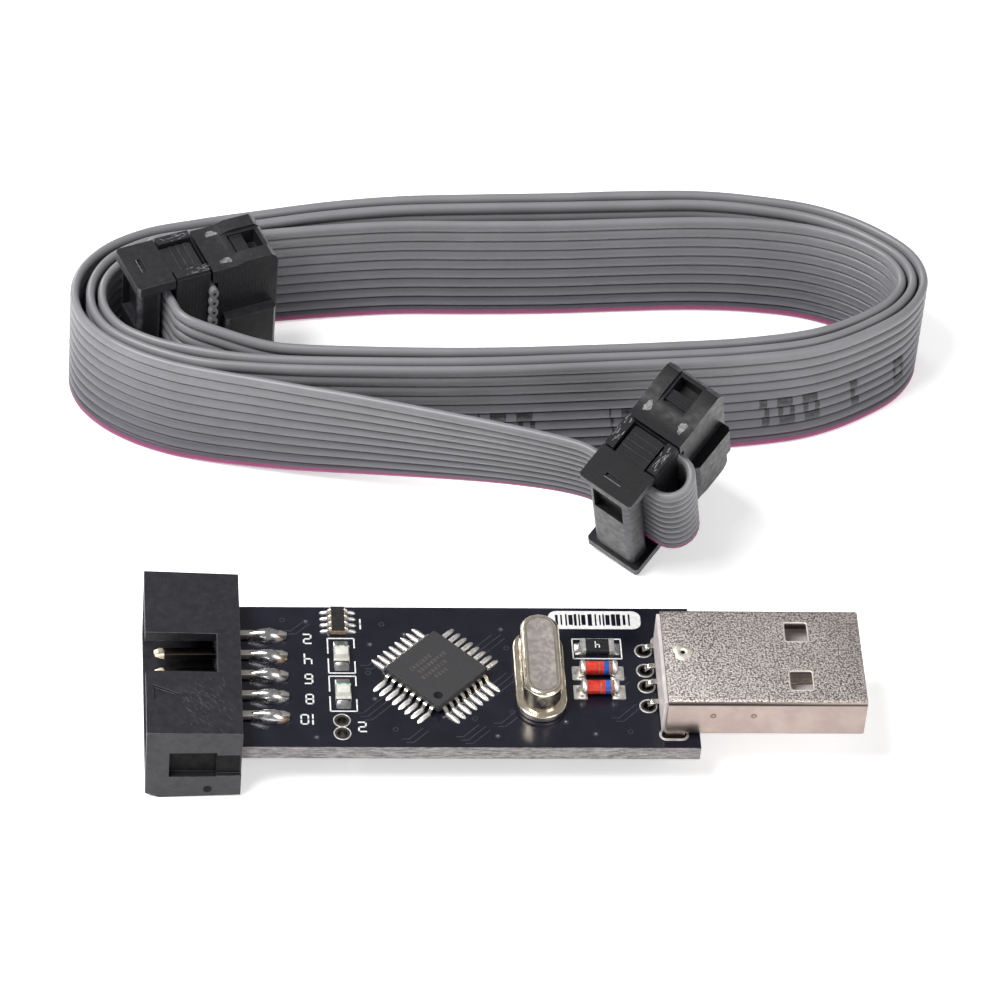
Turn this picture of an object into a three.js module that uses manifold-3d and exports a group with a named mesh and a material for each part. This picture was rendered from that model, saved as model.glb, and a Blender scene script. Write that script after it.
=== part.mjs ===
// USB microcontroller programmer: a small board with a box header and a USB plug,
// and its loose ten-way ribbon cable with a socket on each end. Millimetres, +Z up.
import * as THREE from 'three';
import { mergeVertices } from 'three/addons/utils/BufferGeometryUtils.js';
import Module from 'manifold-3d';

const wasm = await Module();
wasm.setup();

// ---------------------------------------------------------------- driving dimensions

const PITCH = 2.54; // contact pitch of the header and of the sockets
const CONTACTS = [-2, -1, 0, 1, 2]; // places along a row of five, in pitches
const PIN = 0.64; // square pin

const PCB = { length: 42.9, front: -8.6, back: 9.1, thickness: 1.6 };
const TOP = PCB.thickness / 2; // the board's top face, measured from its middle plane

// The header's mouth faces -X and its back butts against the board's left edge at X = 0.
const HEADER = {
  depth: 8.9,
  mouthHeight: 9.0,
  rearHeight: 8.5,
  mouthWidth: 20.5,
  rearWidth: 20.2,
  cavity: { depth: 6.7, width: 17.9, height: 6.5 },
  notch: 4.8,
  foot: { length: 1.35, height: 0.6 }, // chamfer under the mouth
  recess: { half: 1.65, deep: 0.85, shallow: 0.55, from: 2.15, to: 6.6 }, // in each end, from the mouth
};

// The plug's shell stands on the board and runs out over its right edge.
const USB = { rear: 39.55, length: 18.75, width: 12, height: 4.5, wall: 0.3, y: -1.1 };
const USB_CONTACTS = [3.5, 1, -1, -3.5]; // from the middle of the plug
const USB_TAIL = { x: 38.3, aside: 1.2 }; // where the tails go into the board, and how far they step aside

const MCU = { side: 7, height: 1, standoff: 0.1, x: 18.45, y: 0.35, leadPitch: 0.8, leadSpan: 9 };
const CRYSTAL = { x: 28.2, y: 0.05, length: 10.3, width: 3.7, height: 3.5, flange: 0.55, plate: 0.4 };
const SEAT = 0.05; // solder under a part that stands on the board

const RIBBON = { ways: 10, pitch: 1.27, thickness: 0.6 };
const RIBBON_WIDTH = RIBBON.ways * RIBBON.pitch;

// A cable socket lies along its own X: the strain relief's back at 0, the mating face at length.
const SOCKET = {
  length: 14.7,
  thickness: 6.1,
  width: 17.3,
  reliefEnd: 3.9, // where the strain relief's ends stop
  reliefRoof: 2.9, // underside of the strain relief's bar
  coverStart: 4.1,
  coverEnd: 7.3,
  bodyStart: 8.4,
  split: 7.7, // where cover and body meet at their ends
  web: 6.7, // half of the gap that the ribbon passes through
  gap: 0.3,
  key: { proud: 1.1, half: 2.3 }, // the bump that fits the header's notch
  window: { half: 1.2, deep: [12.5, 14], shallow: [11, 12.6], depth: 0.8, step: 0.3 },
  contactHole: { half: 0.45, depth: 5.5 },
};
// The strain relief is an end plate at each end of a narrower bar, with a recess at its upper end.
const RELIEF = { plate: 1.3, barBack: 0.3, barHalf: 2.35, recess: { depth: 0.8, half: 1.7, from: 2.2 } };
const RELIEF_RIBBON_X = 3.5;
const SLIT_RIBBON_X = (SOCKET.coverEnd + SOCKET.bodyStart) / 2;

// Both groups are drawn from the board's left edge; this brings the origin under the middle.
const MIDDLE = (USB.rear + USB.length - HEADER.depth) / 2;
const BOARD_Z = HEADER.mouthHeight / 2; // the board's middle plane above the table

const SOCKET_A = { x: -10.3, y: 42.6, z: SOCKET.width / 2, heading: 21.3, pitch: 0, roll: 0 };
const SOCKET_B = { x: 35.6, y: 17.0, z: 8.42, heading: 48, pitch: -21, roll: 7.5 };

// The ribbon's middle line on the table, from socket A's way out to near socket B's.
const ROUTE = [
  // out of socket A and along the front, innermost
  [-5.3, 39.5], [-4.45, 38.75], [-3.2, 38.3], [-1.4, 37.95], [1.8, 37.45], [6.5, 36.9], [12, 36.7],
  [19, 36.6], [26, 36.7], [34, 37.1], [42, 37.6], [50, 38.3], [57.2, 39.7],
  // right bend and back run of the first turn
  [61.9, 41.8], [65.1, 44.2], [66.6, 46.9], [65.9, 49.7], [63, 52.4], [58.6, 54.3], [52.9, 55.2],
  [47, 55.4], [40, 55.1], [33, 54.7], [25, 54.5], [17, 54.4], [10, 53.8], [3, 52.9], [-3, 51.9],
  // behind socket A, left bend and front run of the second turn
  [-7.8, 50.5], [-10.8, 48.5], [-12.4, 45.7], [-12.4, 42.6], [-10.9, 39.9], [-7.8, 37.9], [-3, 36.4],
  [1.6, 35.6], [6.5, 35.3], [12, 35.2], [19, 35.2], [26, 35.4], [34, 35.9], [42, 36.4], [50, 37.1],
  [57.4, 38.5],
  // right bend and back run of the second turn
  [62.4, 40.9], [66.1, 43.8], [67.7, 46.9], [67, 50.1], [63.6, 53.4], [58.8, 55.9], [52.9, 57.3],
  [47.2, 57.9], [40, 57.7], [33, 57.4], [25, 57.1], [17, 56.7], [10, 55.8], [3, 54.4], [-3, 53.1],
  // left bend and front run of the third turn
  [-8.1, 51.7], [-11.7, 49.3], [-13.5, 46], [-13.6, 42.6], [-12.2, 39.6], [-9, 37.2], [-3.6, 35.1],
  [1.6, 34.4], [6.5, 34.1], [12, 34], [19, 34], [26, 34.2], [34, 34.7], [42, 35.3], [50, 36],
  [57.4, 37.4],
  // right bend and back run of the third turn, outermost
  [62.9, 40], [67, 43.2], [68.8, 46.9], [68.1, 50.6], [64.4, 54.4], [59.1, 57.2], [52.9, 58.6],
  [47.3, 59.2], [40, 59.1], [33, 58.7], [25, 58.4], [17, 58], [10, 57.1], [3, 55.7], [-3, 54.4],
  // left bend, then the lead that runs forward to socket B
  [-8.4, 52.9], [-12.2, 50.6], [-14.6, 47.5], [-15.3, 44.2], [-14.6, 41.1], [-12.5, 38.3],
  [-9.5, 36.1], [-6.2, 34.6], [-2.6, 33.5], [1.6, 32.4], [6.3, 31.1], [11.1, 29.8], [15.9, 28.4],
  [20.6, 27], [25.3, 25.6], [29.5, 24.3], [32.1, 23.4],
];
const TABLE_HEIGHT = RIBBON_WIDTH / 2; // the ribbon stands on its edge
const RISE_FROM_A = 12; // length over which it comes down to the table from socket A
const LEAD_START = 98; // the point of the route where the lead begins to lean

// ---------------------------------------------------------------- materials

const finish = (color, roughness, metalness) =>
  new THREE.MeshStandardMaterial({ color, roughness, metalness });
const MATERIAL = {
  mask: finish(0x14141c, 0.25, 0),
  blackPlastic: finish(0x26262a, 0.6, 0),
  gold: finish(0xc9b27a, 0.35, 1),
  nickel: finish(0xb9b0a4, 0.4, 1),
  tin: finish(0xb8b8b4, 0.35, 1),
  whitePlastic: finish(0xe8e6df, 0.5, 0),
  chipEpoxy: finish(0x1d1d20, 0.6, 0),
  ceramic: finish(0x2a2a2c, 0.5, 0),
  lens: finish(0xdfe8d2, 0.3, 0),
  redGlass: finish(0xb8331f, 0.15, 0),
  capCeramic: finish(0x9a7f5c, 0.5, 0),
  ribbonGrey: finish(0x9a9a9c, 0.5, 0),
};

// ---------------------------------------------------------------- solids

function solid(geometry) {
  const bare = geometry.clone();
  bare.deleteAttribute('normal');
  bare.deleteAttribute('uv');
  const merged = mergeVertices(bare, 1e-4);
  return new wasm.Manifold(new wasm.Mesh({
    numProp: 3,
    vertProperties: new Float32Array(merged.attributes.position.array),
    triVerts: new Uint32Array(merged.index.array),
  }));
}

function toGeometry(manifold) {
  const mesh = manifold.getMesh();
  const geometry = new THREE.BufferGeometry();
  geometry.setAttribute('position', new THREE.BufferAttribute(mesh.vertProperties, 3));
  geometry.setIndex(new THREE.BufferAttribute(mesh.triVerts, 1));
  geometry.computeVertexNormals();
  return geometry;
}

/** A box from its lowest and highest corners. */
function block([x0, y0, z0], [x1, y1, z1]) {
  const geometry = new THREE.BoxGeometry(x1 - x0, y1 - y0, z1 - z0);
  return solid(geometry.translate((x0 + x1) / 2, (y0 + y1) / 2, (z0 + z1) / 2));
}

const join = (...parts) => parts.reduce((a, b) => a.add(b));
const cut = (base, ...tools) => tools.reduce((a, b) => a.subtract(b), base);

function shapeOf(points) {
  return new THREE.Shape(points.map(([x, y]) => new THREE.Vector2(x, y)));
}

/** An outline in X and Y, pulled up from z0 to z1. */
function pulledUp(points, z0, z1) {
  const options = { depth: z1 - z0, bevelEnabled: false };
  return solid(new THREE.ExtrudeGeometry(shapeOf(points), options).translate(0, 0, z0));
}

/** An outline in X and Z, pulled across from y0 to y1. */
function pulledAcross(points, y0, y1) {
  const options = { depth: y1 - y0, bevelEnabled: false };
  const geometry = new THREE.ExtrudeGeometry(shapeOf(points), options);
  return solid(geometry.rotateX(Math.PI / 2).translate(0, y1, 0));
}

/** An upright cylinder. */
function post(x, y, z0, z1, radius, sides = 16) {
  const geometry = new THREE.CylinderGeometry(radius, radius, z1 - z0, sides);
  return solid(geometry.rotateX(Math.PI / 2).translate(x, y, (z0 + z1) / 2));
}

/** A slab with half-round ends, long along Y. */
function oval(x, y, length, width, z0, z1) {
  const shape = new THREE.Shape();
  const straight = (length - width) / 2;
  shape.absarc(x, y + straight, width / 2, 0, Math.PI);
  shape.absarc(x, y - straight, width / 2, Math.PI, 2 * Math.PI);
  const options = { depth: z1 - z0, bevelEnabled: false, curveSegments: 10 };
  return solid(new THREE.ExtrudeGeometry(shape, options).translate(0, 0, z0));
}

const part = new THREE.Group();
const board = new THREE.Group();
const cable = new THREE.Group();
board.position.set(-MIDDLE, 0, BOARD_Z);
cable.position.set(-MIDDLE, 0, 0);
part.add(board, cable);

function place(group, name, shape, material) {
  const geometry = shape.isBufferGeometry ? shape : toGeometry(shape);
  const mesh = new THREE.Mesh(geometry, material);
  mesh.name = name;
  group.add(mesh);
  return mesh;
}

// ---------------------------------------------------------------- the board's holes

const TAB = { x0: 39.65, x1: 41.45, y: USB.width / 2 - USB.wall / 2, reach: 2.9 };
const HOLES = {
  usb: USB_CONTACTS.map((y) => [USB_TAIL.x, USB.y + USB_TAIL.aside + y, 0.55]),
  jumper: [[9.42, -5.3, 0.5], [9.42, -6.9, 0.5]],
  crystal: [[CRYSTAL.x, CRYSTAL.y + 2.44, 0.4], [CRYSTAL.x, CRYSTAL.y - 2.44, 0.4]],
};

function makePcb() {
  const blank = block([0, PCB.front, -TOP], [PCB.length, PCB.back, TOP]);
  const holes = [...HOLES.usb, ...HOLES.jumper, ...HOLES.crystal].map(
    ([x, y, radius]) => post(x, y, -TOP - 1, TOP + 1, radius),
  );
  const slots = [1, -1].map((side) => {
    const y = USB.y + side * TAB.y;
    return block([TAB.x0 - 0.3, y - 0.45, -TOP - 1], [TAB.x1 + 0.15, y + 0.45, TOP + 1]);
  });
  place(board, 'pcb', cut(blank, ...holes, ...slots), MATERIAL.mask);
}

// ---------------------------------------------------------------- box header

function makeHeader() {
  const { depth, cavity, notch, foot, recess } = HEADER;
  const [mouth, rear] = [HEADER.mouthHeight / 2, HEADER.rearHeight / 2];
  const sideOutline = [
    [-depth, foot.height - mouth], [foot.length - depth, -mouth], [0, -rear], [0, rear], [-depth, mouth],
  ];
  const [wide, narrow] = [HEADER.mouthWidth / 2, HEADER.rearWidth / 2];
  const topOutline = [[-depth, -wide], [0, -narrow], [0, narrow], [-depth, wide]];
  const outside = pulledAcross(sideOutline, -wide, wide).intersect(
    pulledUp(topOutline, -mouth, mouth),
  );
  const inside = block(
    [-depth - 1, -cavity.width / 2, -cavity.height / 2],
    [-depth + cavity.depth, cavity.width / 2, cavity.height / 2],
  );
  const keyway = block([-depth - 1, -notch / 2, 0], [-depth + cavity.depth, notch / 2, mouth + 1]);
  const recesses = [1, -1].flatMap((side) => {
    const [low, high] = [-recess.half, recess.half];
    const deep = [side * (wide - recess.deep), side * (wide + 1)].sort((a, b) => a - b);
    const shallow = [side * (wide - recess.shallow), side * (wide + 1)].sort((a, b) => a - b);
    return [
      block([recess.from - depth, deep[0], low], [recess.to - depth, deep[1], high]),
      block([recess.to - depth - 0.1, shallow[0], low + 0.1], [1, shallow[1], high - 0.35]),
    ];
  });
  const arrow = pulledUp([[-8.2, -6.1], [-8.2, -4.2], [-6, -5.15]], mouth - 0.32, mouth + 1);
  const pinHoles = CONTACTS.flatMap((k) => [1, -1].map((row) => pinBlock(k, row, 0.05)));
  const shroud = cut(outside, inside, keyway, arrow, ...recesses, ...pinHoles);
  place(board, 'header_shroud', shroud, MATERIAL.blackPlastic);
}

const PIN_TIP = -7.9; // 1 mm behind the header's mouth
const PIN_TAIL = 4.6; // over and under the board

function pinBlock(k, row, room) {
  const [y, z, half] = [k * PITCH, row * PITCH / 2, PIN / 2 + room];
  return block([PIN_TIP - room, y - half, z - half], [PIN_TAIL + room, y + half, z + half]);
}

function makePins() {
  CONTACTS.forEach((k, i) => {
    place(board, `header_pin_top_${i + 1}`, pinBlock(k, 1, 0), MATERIAL.gold);
    place(board, `header_pin_bottom_${i + 1}`, pinBlock(k, -1, 0), MATERIAL.gold);
  });
}

// ---------------------------------------------------------------- USB plug

const SHELL_FLOOR = TOP + SEAT;
const SHELL_ROOF = SHELL_FLOOR + USB.height;

function makeShell() {
  const { rear, length, width, height, wall, y } = USB;
  const [tip, half] = [rear + length, width / 2];
  const tube = cut(
    block([rear, y - half, SHELL_FLOOR], [tip, y + half, SHELL_ROOF]),
    block([rear - 1, y - half + wall, SHELL_FLOOR + wall], [tip + 1, y + half - wall, SHELL_ROOF - wall]),
  );
  const windows = [1, -1].map((side) => block(
    [tip - 7.1, y + side * 3.07 - 1.15, SHELL_FLOOR - 1],
    [tip - 5.0, y + side * 3.07 + 1.15, SHELL_ROOF + 1],
  ));
  const tabs = [1, -1].map((side) => {
    const middle = y + side * TAB.y;
    return block(
      [TAB.x0, middle - wall / 2, SHELL_FLOOR - TAB.reach],
      [TAB.x1, middle + wall / 2, SHELL_FLOOR + height / 2],
    );
  });
  place(board, 'usb_shell', join(cut(tube, ...windows), ...tabs), MATERIAL.nickel);
}

const TONGUE = { height: 1.85, blockLength: 5.2, clear: 0.05, contact: 0.25 };
const TONGUE_FLOOR = SHELL_FLOOR + USB.wall + TONGUE.clear;
const CONTACT_Z = TONGUE_FLOOR + TONGUE.height - 0.1; // the contacts lie in shallow channels

// A contact runs back along the tongue, drops and steps aside inside the tongue's rear block,
// leaves it low and bends down into the board.
const CONTACT = { drop: USB.rear + 0.9, exit: TONGUE_FLOOR + 0.25, bend: 0.6, half: 0.4, tailHalf: 0.3 };

function contactSolid(offset, room) {
  const { drop, exit, bend } = CONTACT;
  const [y, thick] = [USB.y + offset, TONGUE.contact / 2 + room];
  const [half, tailHalf, tailY] = [CONTACT.half + room, CONTACT.tailHalf + room, y + USB_TAIL.aside];
  const tip = USB.rear + USB.length - 1.6 + room;
  const start = USB_TAIL.x + bend;
  const strips = join(
    block([drop - thick, y - half, CONTACT_Z - thick], [tip, y + half, CONTACT_Z + thick]),
    block([drop - thick, y - tailHalf, exit - thick], [drop + thick, tailY + tailHalf, CONTACT_Z + thick]),
    block([start, tailY - tailHalf, exit - thick], [drop + thick, tailY + tailHalf, exit + thick]),
  );
  if (room > 0) return strips;
  const outer = [];
  const inner = [];
  for (let i = 0; i <= 5; i += 1) {
    const a = Math.PI / 2 + (i / 5) * (Math.PI / 2);
    outer.push([start + (bend + thick) * Math.cos(a), exit - bend + (bend + thick) * Math.sin(a)]);
    inner.push([start + (bend - thick) * Math.cos(a), exit - bend + (bend - thick) * Math.sin(a)]);
  }
  const end = -TOP - 1;
  const tail = [...outer, [USB_TAIL.x - thick, end], [USB_TAIL.x + thick, end], ...inner.reverse()];
  return join(strips, pulledAcross(tail, tailY - tailHalf, tailY + tailHalf));
}

function makeTongue() {
  const { rear, length, width, height, wall, y } = USB;
  const half = width / 2 - wall - TONGUE.clear;
  const tip = rear + length - 0.8;
  const tongue = block([rear + 0.2, y - half, TONGUE_FLOOR], [tip, y + half, TONGUE_FLOOR + TONGUE.height]);
  const rearBlock = block(
    [rear - 0.3, y - half, TONGUE_FLOOR],
    [rear + TONGUE.blockLength, y + half, SHELL_FLOOR + height - wall - TONGUE.clear],
  );
  const channels = USB_CONTACTS.map((offset) => contactSolid(offset, 0.05));
  place(board, 'usb_tongue', cut(join(tongue, rearBlock), ...channels), MATERIAL.whitePlastic);
  USB_CONTACTS.forEach((offset, i) => {
    place(board, `usb_contact_${i + 1}`, contactSolid(offset, 0), MATERIAL.gold);
  });
}

// ---------------------------------------------------------------- parts on the board

/** Gull-wing lead of the chip, pointing along +X from the middle of a side. */
function chipLead() {
  const reach = MCU.leadSpan / 2;
  const side = MCU.side / 2;
  const [floor, shoulder, thick] = [0, MCU.standoff + MCU.height / 2, 0.15];
  const outline = [
    [side - 0.3, shoulder], [side + 0.35, shoulder], [side + 0.55, floor], [reach, floor],
    [reach, floor + thick], [side + 0.66, floor + thick], [side + 0.45, shoulder + thick],
    [side - 0.3, shoulder + thick],
  ];
  return pulledAcross(outline, -0.18, 0.18);
}

function makeChip() {
  const s = MCU.side / 2;
  const body = block([-s, -s, MCU.standoff], [s, s, MCU.standoff + MCU.height]);
  const dimple = post(-s + 1, -s + 1, MCU.standoff + MCU.height - 0.08, MCU.standoff + MCU.height + 1, 0.4);
  const leads = [0, 90, 180, 270].flatMap((turn) => Array.from({ length: 8 }, (_, k) => (
    chipLead().translate([0, (k - 3.5) * MCU.leadPitch, 0]).rotate([0, 0, turn])
  )));
  const chip = join(cut(body, dimple), ...leads).rotate([0, 0, 45]);
  place(board, 'microcontroller', chip.translate([MCU.x, MCU.y, TOP + SEAT]), MATERIAL.chipEpoxy);
}

function makeCrystal() {
  const { x, y, length, width, height, flange, plate } = CRYSTAL;
  const base = TOP + SEAT + plate;
  const can = join(
    oval(x, y, length, width, base + plate, TOP + SEAT + height),
    oval(x, y, length + 2 * flange, width + 2 * flange, base + 0.02, base + plate),
  );
  place(board, 'crystal_can', can, MATERIAL.nickel);
  const leads = HOLES.crystal.map(([lx, ly]) => post(lx, ly, -TOP - 1.1, base - 0.1, 0.22, 10));
  const plateSolid = oval(x, y, length + 2 * flange - 0.2, width + 2 * flange - 0.2, TOP + SEAT, base);
  place(board, 'crystal_base', join(plateSolid, ...leads), MATERIAL.nickel);
}

/** A chip part with an end cap on each end, long along X, standing on Z = 0. */
function endCapped(length, width, height, cap, proud = 0.03) {
  const [l, w] = [length / 2, width / 2];
  const body = block([-l + 0.1, -w + proud, proud], [l - 0.1, w - proud, height - proud]);
  return join(
    body,
    block([-l, -w, 0], [-l + cap, w, height]),
    block([l - cap, -w, 0], [l, w, height]),
  );
}

function makeTopParts() {
  const onTop = TOP + SEAT;
  const array = join(
    block([-0.8, -1.6, 0.04], [0.8, 1.6, 0.55]),
    ...[-1.2, -0.4, 0.4, 1.2].flatMap((y) => [
      block([-0.85, y - 0.2, 0], [-0.5, y + 0.2, 0.6]),
      block([0.5, y - 0.2, 0], [0.85, y + 0.2, 0.6]),
    ]),
  );
  place(board, 'resistor_array', array.translate([9.45, 7.1, onTop]), MATERIAL.ceramic);

  [['led_near_array', 2.85], ['led_near_jumper', -1.95]].forEach(([name, y]) => {
    const led = join(endCapped(2.1, 1.3, 0.35, 0.4), block([-0.6, -0.6, 0.3], [0.6, 0.6, 0.95]));
    place(board, name, led.rotate([0, 0, 90]).translate([9.65, y, onTop]), MATERIAL.lens);
  });

  place(
    board, 'marker_resistor',
    endCapped(3.2, 1.6, 0.6, 0.5).translate([33.9, 3.85, onTop]), MATERIAL.ceramic,
  );

  [['diode_rear', 0.7], ['diode_front', -1.7]].forEach(([name, y]) => {
    const [cap, glass, half, capStart] = [0.76, 0.68, 1.75, 1.3];
    const profile = [
      [0, -half], [cap, -half], [cap, -capStart], [glass, -capStart],
      [glass, capStart], [cap, capStart], [cap, half], [0, half],
    ].map(([r, l]) => new THREE.Vector2(r, l));
    const diode = new THREE.LatheGeometry(profile, 16).rotateZ(-Math.PI / 2);
    place(board, name, solid(diode.translate(33.8, y, onTop + cap)), MATERIAL.redGlass);
  });
}

// Under the board: two series resistors and the pull-up by the plug, the crystal's load
// capacitors, decoupling by the chip, and the resistors of the lamps and of the reset line.
const UNDERSIDE = [
  ['series_resistor_1', 33.6, -0.4, 'resistor'], ['series_resistor_2', 33.6, -2.2, 'resistor'],
  ['pullup_resistor', 33.6, 1.4, 'resistor'], ['load_capacitor_1', 28, 5.9, 'capacitor'],
  ['load_capacitor_2', 28, -6.3, 'capacitor'], ['decoupling_capacitor_1', 18.3, 2.2, 'capacitor'],
  ['decoupling_capacitor_2', 18.3, -2.2, 'capacitor'], ['lamp_resistor_1', 10.4, 2.6, 'resistor'],
  ['lamp_resistor_2', 10.4, -2.6, 'resistor'], ['reset_resistor', 13.6, 5.4, 'resistor'],
];

function makeUnderside() {
  UNDERSIDE.forEach(([name, x, y, kind]) => {
    const height = kind === 'resistor' ? 0.45 : 0.8;
    const chip = endCapped(1.6, 0.8, height, 0.3).rotate([180, 0, 0]).translate([x, y, -TOP - SEAT]);
    place(board, name, chip, kind === 'resistor' ? MATERIAL.ceramic : MATERIAL.capCeramic);
  });
}

// ---------------------------------------------------------------- cable sockets

const ARM = { inner: SOCKET.width / 2 - 0.75, half: 1.7, end: 7.2 };

function socketBody() {
  const { length, thickness, width, bodyStart, split, web, gap } = SOCKET;
  const [t, w] = [thickness / 2, width / 2];
  const main = block([bodyStart, -t, -w], [length, t, w]);
  const ends = [1, -1].map((side) => {
    const z = [side * web, side * w].sort((a, b) => a - b);
    return block([split + gap / 2, -t, z[0]], [bodyStart + 0.1, t, z[1]]);
  });
  const { key: bump, window, contactHole } = SOCKET;
  const key = block([bodyStart + 0.6, -t - bump.proud, -bump.half], [length - 0.4, -t + 0.1, bump.half]);
  const windows = [1, -1].flatMap((side) => (
    [[window.deep, window.depth], [window.shallow, window.step]].map(([[from, to], depth]) => {
      const z = [side * (w - depth), side * (w + 1)].sort((a, b) => a - b);
      return block([from, -window.half, z[0]], [to, window.half, z[1]]);
    })
  ));
  const holes = CONTACTS.flatMap((k) => [1, -1].map((row) => {
    const [y, z, h] = [row * PITCH / 2, k * PITCH, contactHole.half];
    return block([length - contactHole.depth, y - h, z - h], [length + 1, y + h, z + h]);
  }));
  return cut(join(main, ...ends, key), ...windows, ...holes);
}

function socketCover() {
  const { thickness, width, coverStart, coverEnd, split, web, gap } = SOCKET;
  const [t, w] = [thickness / 2, width / 2];
  const bar = block([coverStart, -t, -w], [coverEnd, t, w]);
  const ends = [1, -1].map((side) => {
    const z = [side * web, side * w].sort((a, b) => a - b);
    return block([coverEnd - 0.1, -t, z[0]], [split - gap / 2, t, z[1]]);
  });
  const armRoom = [1, -1].map((side) => {
    const z = [side * (ARM.inner - gap), side * (w + 1)].sort((a, b) => a - b);
    return block([coverStart - 1, -ARM.half - gap, z[0]], [ARM.end + gap, ARM.half + gap, z[1]]);
  });
  return cut(join(bar, ...ends), ...armRoom);
}

function socketRelief() {
  const { thickness, width, reliefEnd, reliefRoof } = SOCKET;
  const { plate, barBack, barHalf, recess } = RELIEF;
  const [t, w] = [thickness / 2, width / 2];
  const inside = w - plate;
  const bar = block([barBack, -barHalf, -inside - 0.1], [reliefRoof, barHalf, inside + 0.1]);
  const plates = [1, -1].map((side) => {
    const z = [side * inside, side * w].sort((a, b) => a - b);
    return block([0, -t, z[0]], [reliefEnd, t, z[1]]);
  });
  const hollow = block(
    [barBack - 1, -recess.half, recess.from], [barBack + recess.depth, recess.half, inside],
  );
  const arms = [1, -1].map((side) => {
    const z = [side * ARM.inner, side * w].sort((a, b) => a - b);
    return block([reliefEnd - 0.1, -ARM.half, z[0]], [ARM.end, ARM.half, z[1]]);
  });
  const slots = [1, -1].map((side) => (
    block([1.3, -0.9, side > 0 ? w - 0.3 : -w - 1], [1.8, 0.9, side > 0 ? w + 1 : 0.3 - w])
  ));
  return cut(join(bar, ...plates, ...arms), hollow, ...slots);
}

function makeSocket(letter, pose) {
  const socket = new THREE.Group();
  socket.position.set(pose.x, pose.y, pose.z);
  const [roll, pitch, heading] = [pose.roll, pose.pitch, pose.heading].map(THREE.MathUtils.degToRad);
  socket.rotation.set(roll, pitch, heading, 'ZYX');
  cable.add(socket);
  socket.updateMatrix();
  place(socket, `socket_${letter}_body`, socketBody(), MATERIAL.blackPlastic);
  place(socket, `socket_${letter}_cover`, socketCover(), MATERIAL.blackPlastic);
  place(socket, `socket_${letter}_strain_relief`, socketRelief(), MATERIAL.blackPlastic);
  return socket;
}

// ---------------------------------------------------------------- ribbon

/** A closed band of rectangular section: line gives the middle, up the way its width points. */
function band(line, up) {
  const [w, t] = [RIBBON_WIDTH / 2, RIBBON.thickness / 2];
  const positions = [];
  const index = [];
  line.forEach((middle, i) => {
    const ahead = line[Math.min(i + 1, line.length - 1)].clone();
    const along = ahead.sub(line[Math.max(i - 1, 0)]).normalize();
    const across = up[i].clone().cross(along).normalize();
    [[-t, -w], [t, -w], [t, w], [-t, w]].forEach(([a, b]) => {
      positions.push(...middle.clone().addScaledVector(across, a).addScaledVector(up[i], b).toArray());
    });
  });
  for (let i = 0; i + 1 < line.length; i += 1) {
    for (let k = 0; k < 4; k += 1) {
      const [a, b] = [4 * i + k, 4 * i + ((k + 1) % 4)];
      index.push(a, b, b + 4, a, b + 4, a + 4);
    }
  }
  const last = 4 * (line.length - 1);
  index.push(0, 2, 1, 0, 3, 2, last, last + 1, last + 2, last, last + 2, last + 3);
  const geometry = new THREE.BufferGeometry();
  geometry.setAttribute('position', new THREE.Float32BufferAttribute(positions, 3));
  geometry.setIndex(index);
  geometry.computeVertexNormals();
  return geometry;
}

/** The ribbon inside a socket, in its frame: through the slit, round, and out below the strain relief. */
function tailLine(side) {
  const edge = SOCKET.thickness / 2;
  const radius = (SLIT_RIBBON_X - RELIEF_RIBBON_X) / 2;
  const middle = RELIEF_RIBBON_X + radius;
  const line = [[SLIT_RIBBON_X, -edge - 0.5], [SLIT_RIBBON_X, 0], [SLIT_RIBBON_X, edge + 0.2]];
  for (let i = 1; i < 10; i += 1) {
    const a = (i / 10) * Math.PI;
    line.push([middle + radius * Math.cos(a), edge + 0.2 + radius * Math.sin(a)]);
  }
  line.push([RELIEF_RIBBON_X, edge + 0.2], [RELIEF_RIBBON_X, 0], [RELIEF_RIBBON_X, -edge - 0.3]);
  return line.map(([x, y]) => new THREE.Vector3(x, y * side, 0));
}

function makeTail(letter, socket, side) {
  const line = tailLine(side);
  const up = line.map(() => new THREE.Vector3(0, 0, 1));
  place(socket, `ribbon_tail_${letter}`, band(line, up), MATERIAL.ribbonGrey);
}

const smooth = (x) => {
  const t = Math.min(Math.max(x, 0), 1);
  return t * t * (3 - 2 * t);
};

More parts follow.
